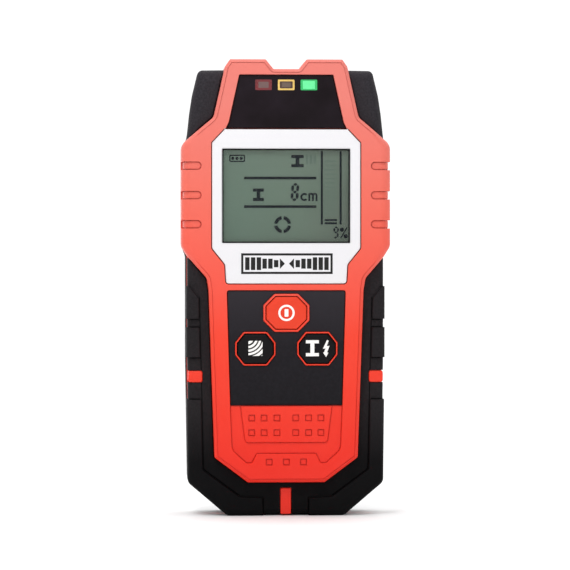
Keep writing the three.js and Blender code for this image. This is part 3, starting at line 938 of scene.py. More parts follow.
# thumb rest
rest_cut = pocket(fillet(both(TEXTURE)), Z_TOP - 0.85, Z_TOP, 0.22, 0.1)
island = stack(fillet(both(ISLAND)), [(0.0, Z_TOP - 3), (0.0, Z_TOP - 0.42), (-0.1, Z_TOP - 0.2), (-0.3, Z_TOP - 0.1)])
rest_cut = cut(rest_cut, island)
front = cut(front, rest_cut)
tray = fillet(both(TEXTURE))
line = stack(tray, [(0, Z_TOP - 1.35), (0, Z_TOP)])
line = cut(line, stack(shift(tray, -0.3), [(0, Z_TOP - 2), (0, Z_TOP + 1)]))
front = cut(front, line)
isle = fillet(both(ISLAND))
line = stack(shift(isle, 0.3), [(0, Z_TOP - 1.3), (0, Z_TOP - 0.3)])
line = cut(line, stack(isle, [(0, Z_TOP - 2), (0, Z_TOP + 1)]))
front = cut(front, line)
for y in (-46.9, -52.2):
    for x in (-12.5, -8.05, -3.4, 3.4, 8.05, 12.5):
        front = cut(front, pocket(rect(2.4, 2.4, 0.25, x, y), Z_TOP - 0.55, Z_TOP - 0.1, 0.1, 0, 2))
        front = cut(front, cut(box(x - 1.2, x + 1.2, y - 1.2, y + 1.2, Z_TOP - 1.15, Z_TOP), box(x - 0.88, x + 0.88, y - 0.88, y + 0.88, 20, 40)))
for x in (-6.2, 0.0, 6.2):
    front = cut(front, pocket(rect(2.4, 2.4, 0.25, x, -62.8), Z_TOP - 0.45, Z_TOP, 0.1, 0, 2))
    front = cut(front, cut(box(x - 1.2, x + 1.2, -64.0, -61.6, Z_TOP - 1.1, Z_TOP + 1), box(x - 0.88, x + 0.88, -63.68, -61.92, 20, 40)))
# collars round the keys
for b in BUTTONS.values():
    front = join(front, body(octagon(b, 0, 0.9), 29.2, 31.55, 0.3))
for b in BUTTONS.values():
    front = cut(front, pocket(octagon(b, -b["ring"], 0.6), 27, 31.55, 0.14))
# a fine line where the chamfer meets the face
rim = frame_line.stack([(-1.12, Z_TOP - 0.42), (-1.12, 40)])
front = cut(front, cut(rim, frame_line.stack([(-1.36, 20), (-1.36, 50)])))
# screw bosses
for x, y in CASE_SCREWS:
    front = join(front, stack(circle(3.3, x, y, 32), [(0, 14.1), (0, 24.4)]))
    front = cut(front, stack(circle(1.6, x, y, 24), [(0, 10), (0, 23.2)]))
finish_piece(front, "front_shell_skin", ORANGE, "case", "front_shell")

# ------------------------------------------------------------------ rear shell
prof = [(-2.1 * (1 - math.sin(t)), 0.6 + 2.1 * (1 - math.cos(t))) for t in arc(6)]
prof += [(0, 13.8), (-0.06, 13.95), (-0.2, 14.0)]
rear = rear_line.stack(prof)
rear = cut(rear, rear_line.stack([(-2.0, 2.6), (-2.0, 16)]))
rear = join(rear, stack(rect(33.2, 60.4, 1.2, 0, -47.8), [(0, 1.6), (0, 22.2)]))
rear = cut(rear, stack(rect(30.4, 57.6, 0.8, 0, -47.8), [(0, 2.6), (0, 21.2)]))
rear = cut(rear, pocket_down(rect(30.5, 56.3, 0.9, 0, -48.45), 0.6, 3.0, 0.3))
rear = cut(rear, box(-5.2, 5.2, -19.4, -17, 15, 23))
for x, y in CASE_SCREWS:
    rear = join(rear, stack(circle(4.3, x, y, 40), [(0, 1.6), (0, 14)]))
    rear = cut(rear, pocket_down(circle(3.2, x, y, 40), 0.6, 4.0, 0.35))
    rear = cut(rear, stack(circle(1.7, x, y, 24), [(0, 3), (0, 20)]))
rear = cut(rear, pocket_down(rect(38.4, 30.4, 2, 0, 0.5), 0.6, 0.85, 0.1))
for x in (21.5, 24.0, 26.5):
    rear = cut(rear, pocket_down(rect(1.2, 7, 0.55, x, 0.5), 0.6, 4, 0.2))
for x, y in ((18, 24), (-18, 24), (18, 60), (-18, 60)):
    rear = join(rear, box(x - 1.2, x + 1.2, y - 4, y + 4, 1.6, 3.6))
# seats of the glide pads
for x, y in ((-27, 54), (27, 54), (-27, -44), (27, -44)):
    rear = cut(rear, pocket_down(rect(8.5, 20.5, 2.2, x, y), 0.6, 0.75, 0.1))
# thumb recess at the free end of the door
rings = []
for x, s in ((-8.6, 0.6), (-8.0, 0.86), (-6.8, 1.0), (6.8, 1.0), (8.0, 0.86), (8.6, 0.6)):
    rings.append(
        [
            (x, -78.4 + 5 * s * math.cos(2 * math.pi * i / 40), -3.6 + 5 * s * math.sin(2 * math.pi * i / 40))
            for i in range(40)
        ]
    )
rear = cut(rear, loft(rings))
finish_piece(rear, "rear_shell_skin", BLACK, "case", "rear_shell")

# ------------------------------------------------------------------ rubber


def rubber_sheet(line, inset, z1, few, many=None, share=lambda x, y: 0.0, z0=16.6):
    """The rubber before it is cut to its pieces; its edge is rounded by few (rh, rv), or by many where share is 1."""
    a = rounding(*few, z1, 7)
    b = rounding(*(many or few), z1, 7)
    rings = [[(x, y, z0) for x, y in line.ring(-inset - 0.25)], [(x, y, z0 + 0.25) for x, y in line.ring(-inset)]]
    return loft(rings + blended(line, -inset, a, b, share))


def clear_flange(ob):
    ob = cut(ob, body_line.stack([(-2.2, 0), (-2.2, 25.5)]))
    return cut(ob, frame_line.stack([(0.1, 0), (0.1, Z_BAND - 1.3), (0.3, Z_BAND - 1.1), (0.34, Z_BAND - 0.4), (0.46, Z_BAND - 0.12), (0.75, Z_BAND), (0.75, 60)]))


sheet = rubber_sheet(body_line, 0.45, Z_BAND - 0.25, (2.2, 2.0))
sheet = keep(sheet, box(-50, 50, -90, 10.8, 0, 60))
blocks = rubber_sheet(body_line, 0, Z_BLOCK, (2.3, 2.1))
inner = pocket(fillet(both(INNER)), 10, Z_BLOCK, 0.6, 0, 4)
blocks = cut(blocks, inner)
blocks = cut(blocks, pocket(rect(16.8, 20, 0.0, 0, -88), 10, Z_BLOCK, 0.4))
for y0, y1 in ((-14.3, -11.2), (-40.4, -25.1)):
    blocks = cut(blocks, pocket(rect(100, y1 - y0, 0.0, 0, (y0 + y1) / 2), 10, Z_BLOCK, 0.4))
blocks = cut(blocks, box(-60, 60, 1.3, 90, 0, 60))
for side in (1, -1):
    wedge = [
        (side * 40, 9.0),
        (side * 29, 9.0),
        (side * 29, -5.0),
        (side * 31.3, -4.1),
        (side * 34.4, -0.1),
        (side * 35.4, 0.6),
        (side * 40, 0.7),
    ][::side]
    blocks = cut(blocks, pocket(wedge, 10, Z_BLOCK, 0.4))
bumper = clear_flange(join(sheet, blocks))
# a fine line at the foot of every block
ridge = fillet(both(INNER))
line = stack(ridge, [(0, Z_BAND - 1.1), (0, 40)])
line = cut(line, stack(shift(ridge, -0.4), [(0, 20), (0, 50)]))
bumper = cut(bumper, cut(line, box(-60, 60, -90, -75.2, 0, 60), box(-60, 60, -3.2, 95, 0, 60)))
for side in (1, -1):
    xs = sorted((side * 31.0, side * 37.0))
    for y0 in (-11.2 - 0.4, -14.3, -25.1 - 0.4, -40.4):
        bumper = cut(bumper, box(*xs, y0, y0 + 0.4, Z_BAND - 1.1, 60))
    xs = sorted((side * 8.0, side * 8.4))
    bumper = cut(bumper, box(*xs, -84, -76.0, Z_BAND - 1.1, 60))
for side in (1, -1):
    slot_pts = fillet(
        [
            (side * 30.0, -34.35, 0.9),
            (side * 50, -34.35, 0),
            (side * 50, -29.75, 0),
            (side * 30.0, -29.75, 0.9),
        ][:: side],
        12,
    )
    bumper = cut(bumper, pocket(slot_pts, 10, Z_BAND, 0.3))
bumper = cut(bumper, pocket(rect(4.3, 18, 0.5, 0, -81.2), 10, Z_BAND, 0.3))
bumper = cut(bumper, box(-8.4, 8.4, -90, -81.85, 0, 60))
finish_piece(bumper, "bumper_skin", RUBBER, "case", "bumper")

shoulder = rubber_sheet(body_line, 0, Z_BAND + 0.2, (4.6, 4.2))
for side, word in ((-1, "left"), (1, "right")):
    s = keep(copy_of(shoulder), box(15 if side > 0 else -50, 50 if side > 0 else -15, 50, 90, 0, 60))
    s = clear_flange(s)
    finish_piece(s, f"shoulder_{word}_skin", RUBBER, "case", f"shoulder_{word}")
bpy.data.objects.remove(shoulder)

# ------------------------------------------------------------------ face
lens_pts = fillet(both([(21.4, 57.75, 0.2), (20.45, 59.9, 2), (16.75, 76.75, 0.5)]))
finish_piece(body(lens_pts, 28.9, 30.1, 0.15), "indicator_lens_skin", LENS_MAT, "case", "indicator_lens")

bezel_pts = shift(fillet(both(BEZEL)), -0.3)
bezel = body(bezel_pts, 30.1, 30.95, 0.3)
opening = rect(LCD_W, LCD_H, 0.35, 0, LCD_Y)
bezel = cut(bezel, stack(opening, [(0, 29), (0, 30.45), (0.28, 30.85), (0.5, 30.97), (0.5, 33)]))
finish_piece(bezel, "screen_bezel_skin", SILVER, "case", "screen_bezel")

finish_piece(body(rect(47.6, 35.4, 0.6, 0, LCD_Y), 29.1, 30.0, 0.12), "screen_window_skin", WINDOW, "case", "screen_window")

panel = body(shift(fillet(both(KEYPAD)), -0.28), 30.1, 30.8, 0.15)
for b in BUTTONS.values():
    panel = cut(panel, pocket(octagon(b, 0.12, 0.9), 29, 30.8, 0.1))
finish_piece(panel, "keypad_panel_skin", PANEL, "case", "keypad_panel")

for key, b in BUTTONS.items():
    d = -b["ring"] - 0.32
    top = 31.95
    prof = [(0, 28)]
    prof += [(-0.6 * (1 - math.cos(t)), top - 0.1 - 0.5 * (1 - math.sin(t))) for t in arc(5)]
    prof += [(-1.3, top - 0.05), (-2.3, top - 0.015), (-3.2, top)]
    cap = loft([[(x, y, z) for x, y in octagon(b, d + e, max(0.15, 0.8 + e * 0.3))] for e, z in prof])
    cap = join(cap, stack(octagon(b, -0.1, 0.6), [(0, 27.9), (0, 28.7)]))
    cap = join(cap, stack(circle(2.0, b["x"], b["y"], 28), [(0, 27.7), (0, 28.2)]))
    finish_piece(
        cap,
        f"{key}_button_cap",
        ORANGE_KEY if key == "power" else KEY_BLACK,
        f"{key}_key",
        f"{key}_button",
    )


# Dark red rings on the gap floors round the bezel, the keypad panel and the lens: painted shade for the shadow in
# these gaps.
for half, z, d, word in ((BEZEL, 30.55, -0.3, "bezel"), (KEYPAD, 30.5, -0.28, "keypad"), (LENS, 29.9, -0.3, "lens")):
    out = fillet(both(half))
    ring = stack(shift(out, -0.03), [(0, z - 0.5), (0, z)])
    ring = cut(ring, stack(shift(out, d + 0.03), [(0, z - 2), (0, z + 2)]))
    finish_piece(ring, f"{word}_seam", GAP_SHADE, "case")

# ------------------------------------------------------------------ printed graphics: thin raised ink
def ink(name, outlines, z, material, body_name="case", thick=0.03, holes=()):
    """Several flat shapes as one thin layer of ink, united where they touch."""
    obs = [stack(o, [(0, z), (0, z + thick)]) for o in outlines]
    ob = obs[0]
    for o in obs[1:]:
        ob = join(ob, o)
    for h in holes:
        ob = cut(ob, stack(h, [(0, z - 1), (0, z + 1)]))
    return finish_piece(ob, name, material, body_name, smooth=20)


def bar(x0, x1, y0, y1):
    return [(x0, y0), (x1, y0), (x1, y1), (x0, y1)]


def stroke(a, b, w):
    a, b = Vector(a), Vector(b)
    u = (b - a).normalized() * (w / 2)
    n = Vector((-u.y, u.x))
    return [tuple(a - u - n), tuple(b + u - n), tuple(b + u + n), tuple(a - u + n)]


def arc_band(cx, cy, r0, r1, a0, a1, n=14):
    out = [(cx + r1 * math.cos(t), cy + r1 * math.sin(t)) for t in arc(n, a0, a1)]
    out += [(cx + r0 * math.cos(t), cy + r0 * math.sin(t)) for t in reversed(arc(n, a0, a1))]
    return out


def i_beam(cx, cy, w, h, flange, web):
    return [
        bar(cx - w / 2, cx + w / 2, cy + h / 2 - flange, cy + h / 2),
        bar(cx - w / 2, cx + w / 2, cy - h / 2, cy - h / 2 + flange),
        bar(cx - web / 2, cx + web / 2, cy - h / 2, cy + h / 2),
    ]


S = 0.3611


def px(x):
    return (x - 286.2) * S


def py(y):
    return (288.0 - y) * S


K = BUTTONS["power"]
ink("power_mark_ring", [circle(2.95, K["x"], K["y"])], 31.94, PRINT_WHITE, "power_key", holes=[circle(2.2, K["x"], K["y"])])
ink("power_mark_bar", [rect(1.4, 2.75, 0.3, K["x"], K["y"])], 31.94, PRINT_WHITE, "power_key")

K = BUTTONS["metal"]
ox, oy = K["x"], K["y"]
ink("metal_mark_beam", i_beam(ox - 1.85, oy + 0.2, 4.7, 5.8, 1.15, 1.45), 31.94, PRINT_WHITE, "metal_key")
bolt = [(0.35, 3.1), (-1.15, -0.15), (-0.2, 0.0), (-0.75, -1.45), (-1.15, -1.35), (0.0, -3.1), (0.85, -1.45), (0.35, -1.45), (1.25, 0.95), (0.25, 0.85), (0.95, 2.75)]
ink("metal_mark_bolt", [[(ox + 3.1 + x, oy + 0.1 + y) for x, y in bolt]], 31.94, PRINT_WHITE, "metal_key")

K = BUTTONS["wood"]
ox, oy = K["x"], K["y"]
x0, x1, y0, y1 = ox - 2.55, ox + 2.55, oy - 2.55, oy + 2.9
clip = fillet([(x0, y0, 0.05), (x1, y0, 0.3), (x1, y1, 0.7), (x0, y1, 0.05)], 15)
grain = None
for r0, r1 in ((0.9, 1.9), (2.5, 3.35), (3.85, 4.65), (5.1, 5.85), (6.3, 7.3), (7.75, 9.5)):
    band = stack(arc_band(x0 - 0.3, y1 + 1.0, r0 + 0.35, r1 + 0.35, -95, 5, 26), [(0, 31.94), (0, 31.97)])
    grain = band if grain is None else join(grain, band)
grain = keep(grain, stack(clip, [(0, 31.9), (0, 32.2)]))
finish_piece(grain, "wood_mark", PRINT_WHITE, "wood_key", smooth=20)

# generic badge on the bezel: a framed centre-finding scale
bx0, bx1, by0, by1 = px(241), px(332.6), py(274), py(253.3)
ink("badge_frame", [bar(bx0, bx1, by0, by1)], 30.94, PRINT_BLACK, holes=[bar(bx0 + 0.8, bx1 - 0.8, by0 + 0.8, by1 - 0.8)])
cx, cy = (bx0 + bx1) / 2, (by0 + by1) / 2
marks = []
for k, (h, w) in enumerate(((4.6, 1.6), (4.6, 1.6), (4.6, 1.6), (3.6, 1.6), (3.6, 1.6), (2.6, 1.6))):
    for side in (1, -1):
        xx = cx + side * (14.3 - k * 2.08)
        marks.append(bar(xx - w / 2, xx + w / 2, cy - h / 2, cy + h / 2))
scale = None
for m in marks:
    s = stack(m, [(0, 30.94), (0, 30.97)])
    scale = s if scale is None else join(scale, s)
for side in (1, -1):
    tri = [(cx + side * 0.75, cy), (cx + side * 2.55, cy + 1.9), (cx + side * 2.55, cy - 1.9)][:: -side]
    scale = join(scale, stack(tri, [(0, 30.94), (0, 30.97)]))
finish_piece(scale, "badge_scale", PRINT_BLACK, "case", smooth=20)

# lamps: a frame, a dark ring and a core behind the lens, printed flush on it
for x, parts, word in (
    (LED_X[0], ((6.0, 3.8, RED_FRAME), (3.7, 2.2, RED_CORE)), "red"),
    (LED_X[1], ((6.0, 3.8, AMBER_FRAME), (4.7, 2.55, AMBER_DARK), (3.2, 1.7, AMBER_CORE)), "amber"),
    (LED_X[2], ((6.0, 3.8, GREEN_FRAME), (4.4, 2.9, GREEN_CORE)), "green"),
):
    for k, (w, h, mat) in enumerate(parts):
        z = 30.09 + 0.012 * k
        finish_piece(
            stack(rect(w, h, 0.35 if k == 0 else 0.25, x, LED_Y), [(0, z), (0, z + 0.024), (-0.06, z + 0.03)]),
            f"{word}_lamp_{('frame', 'inset', 'core')[k]}",
            mat,
            "case",
            smooth=20,
        )

# ------------------------------------------------------------------ display
lcd = body(rect(50, 38, 0.2, 0, LCD_Y), 26.2, 28.3, 0.08)
finish_piece(lcd, "lcd_panel_skin", LCD, "case", "lcd_panel")
ink("lcd_border", [rect(49, 37, 0.2, 0, LCD_Y)], 28.3, PRINT_BLACK, holes=[rect(45.15, 32.95, 0.3, 0, LCD_Y)])
Z = 28.31


def seg_digit(x, y, w, h, t, on, slant=0.07):
    """A seven-segment figure as separate six-sided bars."""
    g = t * 0.18
    out = []

    def hbar(yy):
        return [(x + t / 2 + g, yy), (x + t + g, yy + t / 2), (x + w - t - g, yy + t / 2), (x + w - t / 2 - g, yy), (x + w - t - g, yy - t / 2), (x + t + g, yy - t / 2)]

    def vbar(xx, y0, y1):
        return [(xx, y0 + g), (xx + t / 2, y0 + g + t / 2), (xx + t / 2, y1 - g - t / 2), (xx, y1 - g), (xx - t / 2, y1 - g - t / 2), (xx - t / 2, y0 + g + t / 2)]

    top, mid, low = y + h - t / 2, y + h / 2, y + t / 2
    l, r = x + t / 2, x + w - t / 2
    bars = {
        "a": hbar(top),
        "g": hbar(mid),
        "d": hbar(low),
        "f": vbar(l, mid, top),
        "b": vbar(r, mid, top),
        "e": vbar(l, low, mid),
        "c": vbar(r, low, mid),
    }
    for k in on:
        pts = bars[k]
        area = sum(pts[i - 1][0] * pts[i][1] - pts[i][0] * pts[i - 1][1] for i in range(len(pts)))
        if area < 0:
            pts = pts[::-1]
        out.append([(px_ + (py_ - y) * slant, py_) for px_, py_ in pts])
    return out


def letter_c(x, y, w, h, t):
    return [arc_band(x + w / 2, y + h / 2, h / 2 - t, h / 2, 42, 318, 20)]


def letter_m(x, y, w, h, t):
    step = (w - t) / 2
    out = [bar(x + k * step, x + k * step + t, y, y + h * (0.95 if k == 0 else 0.72)) for k in range(3)]
    for k in range(2):
        cxx = x + t / 2 + step * (k + 0.5)
        out.append(arc_band(cxx, y + h * 0.68, step / 2 - t / 2, step / 2 + t / 2, 0, 180, 10))
    return out


shapes = {
    "lcd_battery_icon": [bar(px(229.5), px(245), py(161.6), py(155.0))],
    "lcd_beam_upper": i_beam((px(291.6) + px(304)) / 2, (py(155) + py(167)) / 2, 4.5, 4.45, 1.15, 1.4),
    "lcd_line_upper": [bar(px(244.2), px(316.7), py(179.3), py(176.6))],
    "lcd_beam_lower": i_beam((px(253.2) + px(264.1)) / 2, (py(188.5) + py(201)) / 2, 4.0, 4.55, 1.15, 1.3),
    "lcd_figure_8": seg_digit(px(290.6), py(201), 2.85, 6.5, 1.0, "abcdefg"),
    "lcd_unit_c": letter_c(px(301.2), py(201), 2.5, 2.95, 0.72),
    "lcd_unit_m": letter_m(px(308.7), py(201), 3.3, 2.95, 0.7),
    "lcd_line_lower": [bar(px(244.2), px(316.7), py(207.9), py(205.2))],
    "lcd_target": [arc_band(px(282.9), py(224.6), 1.85, 3.1, a + 8, a + 82, 10) for a in (0, 90, 180, 270)],
    "lcd_scale_left": [bar(px(321.1), px(323.3), py(224.4), py(151.0))],
    "lcd_scale_right": [bar(px(340.0), px(342.2), py(224.4), py(151.0))],
    "lcd_scale_bars": [bar(px(325.0), px(337.4), py(221.0), py(219.0)), bar(px(325.0), px(337.4), py(224.2), py(222.2))],
    "lcd_figure_9": seg_digit(px(333.2), py(238.4), 2.0, 4.3, 0.68, "abcdfg"),
    "lcd_percent": [arc_band(px(342.4), py(229.6), 0.25, 0.78, 0, 359.9, 14), arc_band(px(346.2), py(236.2), 0.25, 0.78, 0, 359.9, 14), stroke((px(341.6), py(237.6)), (px(347.2), py(228.0)), 0.46)],
}
for name, outlines in shapes.items():
    if name == "lcd_battery_icon":
        x0, x1, y0, y1 = px(229.4), px(245.2), py(162.0), py(154.7)
        ob = stack(fillet([(x0, y0, 0.5), (x1, y0, 0.5), (x1, y1, 0.5), (x0, y1, 0.5)], 20), [(0, Z), (0, Z + 0.03)])
        ob = cut(ob, stack(fillet([(x0 + 0.46, y0 + 0.46, 0.2), (x1 - 0.46, y0 + 0.46, 0.2), (x1 - 0.46, y1 - 0.46, 0.2), (x0 + 0.46, y1 - 0.46, 0.2)], 20), [(0, Z - 1), (0, Z + 1)]))
        finish_piece(ob, name, SEGMENT, "case", smooth=20)
        for k in range(3):
            cxx = px(232.9 + k * 4.25)
            finish_piece(stack(circle(0.6, cxx, (y0 + y1) / 2, 20), [(0, Z), (0, Z + 0.03)]), f"lcd_battery_level_{k + 1}", SEGMENT, "case", smooth=20)
        continue
    ob = None
    for o in outlines:
        s = stack(o, [(0, Z), (0, Z + 0.03)])
        ob = s if ob is None else join(ob, s)
    finish_piece(ob, name, SEGMENT, "case", smooth=20)
# segments that are off, just visible against the background
off = None
for o in (
    [bar(px(306 + k * 4.0), px(308.4 + k * 4.0), py(164), py(154.5)) for k in range(3)]
    + [bar(px(325.0), px(337.4), py(160.2 + k * 4.4 + 1.6), py(160.2 + k * 4.4)) for k in range(13)]
):
    s = stack(o, [(0, 28.3), (0, 28.315)])
    off = s if off is None else join(off, s)
finish_piece(off, "lcd_unlit_segments", GHOST, "case", smooth=20)

# ------------------------------------------------------------------ back: pads, label, door, screws, battery
for (x, y), word in zip(
    ((-27, 54), (27, 54), (-27, -44), (27, -44)), ("upper_left", "upper_right", "lower_left", "lower_right")
):
    pad = stack(
        rect(8, 20, 2, x, y),
        [(-0.45, 0.0), (-0.15, 0.04), (0, 0.16), (0, 0.62)],
    )
    finish_piece(pad, f"glide_pad_{word}_skin", FELT, "case", f"glide_pad_{word}")

finish_piece(stack(rect(38, 30, 1.8, 0, 0.5), [(-0.03, 0.62), (0, 0.65), (0, 0.78)]), "rear_label_skin", LABEL, "case", "rear_label")
line = stack(rect(36, 28, 1.2, 0, 0.5), [(0, 0.61), (0, 0.64)])
line = cut(line, stack(rect(35.5, 27.5, 1.0, 0, 0.5), [(0, 0), (0, 2)]))
for yy in (-6.0, -1.0, 4.0):
    line = join(line, stack(bar(-17.9, 17.9, yy - 0.1, yy + 0.1), [(0, 0.61), (0, 0.64)]))
line = join(line, stack(bar(-4.1, -3.9, -13.4, 4.0), [(0, 0.61), (0, 0.64)]))
finish_piece(line, "rear_label_lines", LABEL_LINE, "case", smooth=20)

door = body(rect(30, 55.9, 0.8, 0, -48.45), 0.7, 2.5, 0.15, 0.3)
for x in (-9, 9):
    door = join(door, box(x - 2.5, x + 2.5, -23.5, -21.5, 2, 4.2))
    door = join(door, body(rect(5, 4.3, 0.4, x, -21.35), 2.85, 4.2, 0.3, 0.2))
door = join(door, body(rect(8.4, 1.1, 0.3, 0, -75.85), 2, 5, 0.3))
for i in range(6):
    yy = -68.6 + i * 1.75
    door = cut(door, pocket_down(rect(17, 0.85, 0.4, 0, yy), 0.7, 1.15, 0.12))
arrow = [(-2.6, -55.2), (0, -52.0), (2.6, -55.2), (1.75, -55.2), (0, -53.1), (-1.75, -55.2)][::-1]
door = cut(door, pocket_down(arrow, 0.7, 1.0, 0.05))
for x in (-4.7, 4.7):
    door = cut(door, box(x - 0.4, x + 0.4, -80, -70, 0, 10))
finish_piece(door, "battery_door_skin", BLACK, "door", "battery_door")

for i, (x, y) in enumerate(CASE_SCREWS):
    head = [(0, 2.1), (0.9, 2.12), (1.7, 2.2), (2.3, 2.42), (2.65, 2.72), (2.8, 3.1), (2.8, 3.6), (2.7, 3.8), (1.45, 3.85)]
    shank = []
    z = 4.2
    while z < 19.4:
        shank += [(1.42, z), (1.12, z + 0.3), (1.12, z + 0.45), (1.42, z + 0.75)]
        z += 0.95
    screw = turned(head + shank + [(1.2, 20.2), (0.5, 20.9), (0, 21)], x, y, 32)
    for w, h in ((3.3, 0.62), (0.62, 3.3)):
        screw = cut(screw, stack(rect(w, h, 0.12, x, y), [(0.1, 1), (0.0, 2.5), (-0.15, 3.1)]))
    finish_piece(screw, f"case_screw_{i + 1}_skin", STEEL, "case", f"case_screw_{i + 1}")

BX, BL, BH = 26.5, 46.0, 17.5
by0, by1, bz = -51.5 - 23, -51.5 + 23, 12.15


def along_y(outline, profile):
    """An outline in x and z swept along y, with (offset, y) steps."""
    ns = normals(outline)
    rings = []
    for d, yy in profile:
        rings.append([(p[0] + n.x * d, yy, bz - (p[1] + n.y * d)) for p, n in zip(outline, ns)])
    return loft(rings)


can_pts = rect(BX, BH, 2.3, 0, 0, 10)
can = along_y(
    can_pts,
    [(-1.2, by0 + 0.25), (-1.1, by0), (-0.5, by0), (-0.15, by0 + 0.2), (-0.12, by0 + 1.0), (0, by0 + 1.15), (0, by1 - 1.15), (-0.12, by1 - 1.0), (-0.15, by1 - 0.2), (-0.5, by1), (-1.1, by1), (-1.2, by1 - 0.25)],
)
finish_piece(can, "battery_can", CELL, "case", "battery")
band = along_y(can_pts, [(0.0, by1 - 12), (0.03, by1 - 11.97), (0.03, by1 - 1.25), (0.0, by1 - 1.2)])
band = cut(band, along_y(can_pts, [(-0.2, by1 - 20), (-0.2, by1 + 5)]))
finish_piece(band, "battery_band", CELL_BAND, "case")


def stud(x, prof, n):
    verts, faces = [], []
    for r, yy in prof:
        for i in range(n):
            a = 2 * math.pi * i / n
            verts.append((x + r * math.cos(a), yy, bz - r * math.sin(a)))
    faces.append(tuple(reversed(range(n))))
    for k in range(len(prof) - 1):
        for i in range(n):
            j = (i + 1) % n
            faces.append((k * n + i, k * n + j, (k + 1) * n + j, (k + 1) * n + i))
    faces.append(tuple(range((len(prof) - 1) * n, len(prof) * n)))
    return solid(verts, faces)


finish_piece(stud(-6.35, [(3.6, by1 - 0.24), (3.6, by1 + 0.1), (2.5, by1 + 0.3), (2.5, by1 + 1.0), (2.85, by1 + 1.6), (2.7, by1 + 2.3), (1.4, by1 + 2.4), (1.3, by1 + 1.2)], 28), "battery_stud_small", STEEL, "case")
finish_piece(stud(6.35, [(4.1, by1 - 0.24), (4.1, by1 + 0.1), (3.6, by1 + 0.3), (3.6, by1 + 1.9), (3.9, by1 + 2.35), (3.2, by1 + 2.4), (2.7, by1 + 1.8), (2.7, by1 + 0.5)], 6), "battery_stud_large", STEEL, "case")

# ------------------------------------------------------------------ carried-over CAD pieces
CARRIED = {
    "main_board": BOARD,
    "sensor_board": BOARD,
    "controller_chip": EPOXY,
    "buzzer": EPOXY,
    "board_connector": EPOXY,
    "power_switch": EPOXY,
    "wood_switch": EPOXY,
    "metal_switch": EPOXY,
    "power_switch_plunger": EPOXY,
    "wood_switch_plunger": EPOXY,
    "metal_switch_plunger": EPOXY,
    "lcd_gasket": FOAM,
    "lcd_contact_upper": FOAM,
    "lcd_contact_lower": FOAM,
    "battery_pad": FOAM,
    "lcd_backlight": MILKY,
    "light_baffle": BLACK,
    "coil_spool": BLACK,
    "coil_winding": COPPER,
    "battery_snap": BLACK,
    "battery_lead_red": RED_WIRE,
    "battery_lead_black": BLACK_WIRE,
    "board_screw_1": STEEL,
    "board_screw_2": STEEL,
    "board_screw_3": STEEL,
    "board_screw_4": STEEL,
    "red_led": RED_FRAME,
    "amber_led": AMBER_FRAME,
    "green_led": GREEN_CORE,
}
for name, mat in CARRIED.items():
    ob = nodes[name]
    ob.data.materials.clear()
    ob.data.materials.append(mat)

# ------------------------------------------------------------------ floor, light and camera
floor_mesh = bpy.data.meshes.new("floor")
floor_mesh.from_pydata([(-30, -30, 0), (30, -30, 0), (30, 30, 0), (-30, 30, 0)], [], [(0, 1, 2, 3)])
floor = bpy.data.objects.new("floor", floor_mesh)
scene.collection.objects.link(floor)
fm = bpy.data.materials.new("floor")
fm.use_nodes = True
fm.node_tree.nodes["Principled BSDF"].inputs["Base Color"].default_value = (0.93, 0.93, 0.93, 1)
fm.node_tree.nodes["Principled BSDF"].inputs["Roughness"].default_value = 0.9
fm.node_tree.nodes["Principled BSDF"].inputs["Specular IOR Level"].default_value = 0.1
floor_mesh.materials.append(fm)

world = bpy.data.worlds.new("studio")
scene.world = world
world.use_nodes = True
wt = world.node_tree
bg = wt.nodes["Background"]
bg.inputs["Color"].default_value = (1, 1, 1, 1)
way = wt.nodes.new("ShaderNodeTexCoord").outputs["Generated"]
axes = wt.nodes.new("ShaderNodeSeparateXYZ")
wt.links.new(way, axes.inputs[0])


def world_span(out, a, b, lo, hi):
    n = wt.nodes.new("ShaderNodeMapRange")
    n.interpolation_type = "SMOOTHSTEP"
    for k, v in zip(("From Min", "From Max", "To Min", "To Max"), (a, b, lo, hi)):
        n.inputs[k].default_value = v
    wt.links.new(out, n.inputs["Value"])
    return n.outputs["Result"]


# brighter behind the object and overhead than on the viewer's side
total = wt.nodes.new("ShaderNodeMath")
total.operation = "ADD"
wt.links.new(world_span(axes.outputs[1], -0.45, 0.55, 0.14, 1.4), total.inputs[0])
wt.links.new(world_span(axes.outputs[2], 0.15, 1.0, 0.0, 1.2), total.inputs[1])
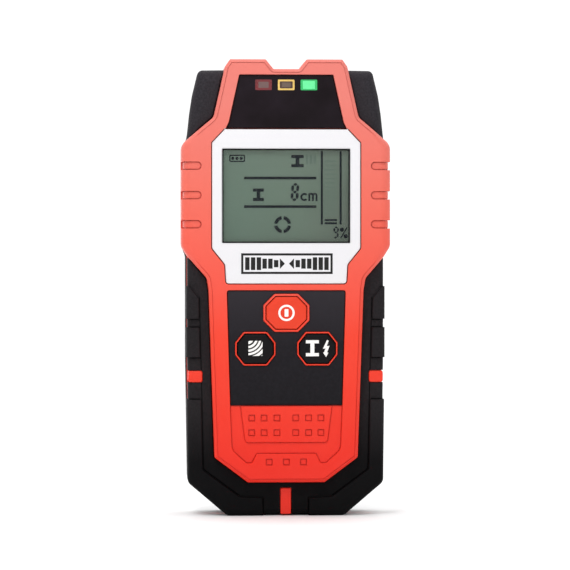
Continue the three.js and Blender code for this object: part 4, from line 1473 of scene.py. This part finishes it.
# a soft bright band along the horizon on the viewer's side, so that the floor fades out in every direction
band = wt.nodes.new("ShaderNodeMath")
band.operation = "MULTIPLY"
wt.links.new(world_span(axes.outputs[1], -0.45, 0.55, 0.92, 0.0), band.inputs[0])
wt.links.new(world_span(axes.outputs[2], 0.0, 0.26, 1.0, 0.0), band.inputs[1])
whole = wt.nodes.new("ShaderNodeMath")
whole.operation = "ADD"
wt.links.new(total.outputs[0], whole.inputs[0])
wt.links.new(band.outputs[0], whole.inputs[1])
wt.links.new(whole.outputs[0], bg.inputs["Strength"])

scene.view_settings.view_transform = "Standard"
scene.view_settings.look = "None"
scene.view_settings.exposure = -0.33
scene.view_settings.gamma = 1.0


def area(name, at, aim, size, power, size_y=None, color=(1, 1, 1)):
    d = bpy.data.lights.new(name, "AREA")
    d.energy = power
    d.size = size
    d.color = color
    if size_y:
        d.shape = "RECTANGLE"
        d.size_y = size_y
    o = bpy.data.objects.new(name, d)
    o.location = at
    o.rotation_mode = "QUATERNION"
    o.rotation_quaternion = (Vector(aim) - Vector(at)).to_track_quat("-Z", "Y")
    scene.collection.objects.link(o)
    return o


area("key", (-0.14, -0.32, 0.46), (0, 0, 0.12), 0.14, 1.0, 0.10)
area("glow", (0.05, -1.35, 0.55), (0, 0, 0.16), 0.7, 3.0, 0.42)

cam_data = bpy.data.cameras.new("camera")
cam = bpy.data.objects.new("camera", cam_data)
scene.collection.objects.link(cam)
scene.camera = cam
cam_data.sensor_width = 36
DIST = 1.1
AZ, EL = math.radians(-3.2), math.radians(0.6)
# the face's centre sits a little right of and above the middle of the frame
aim = Vector((CX / 1000, -0.014, CZ / 1000))
back = Vector((math.sin(AZ) * math.cos(EL), -math.cos(AZ) * math.cos(EL), math.sin(EL)))
width = 570 * S / 1000  # metres across the frame at the face
cam_data.lens = 36 * DIST / width
right = Vector((math.cos(AZ), math.sin(AZ), 0))
aim_shift = right * ((285 - 286.2) * S / 1000) + Vector((0, 0, (288 - 285) * S / 1000))
cam.location = aim + back * DIST + aim_shift
cam.rotation_mode = "QUATERNION"
cam.rotation_quaternion = (-back).to_track_quat("-Z", "Y")
cam_data.clip_start, cam_data.clip_end = 0.01, 100
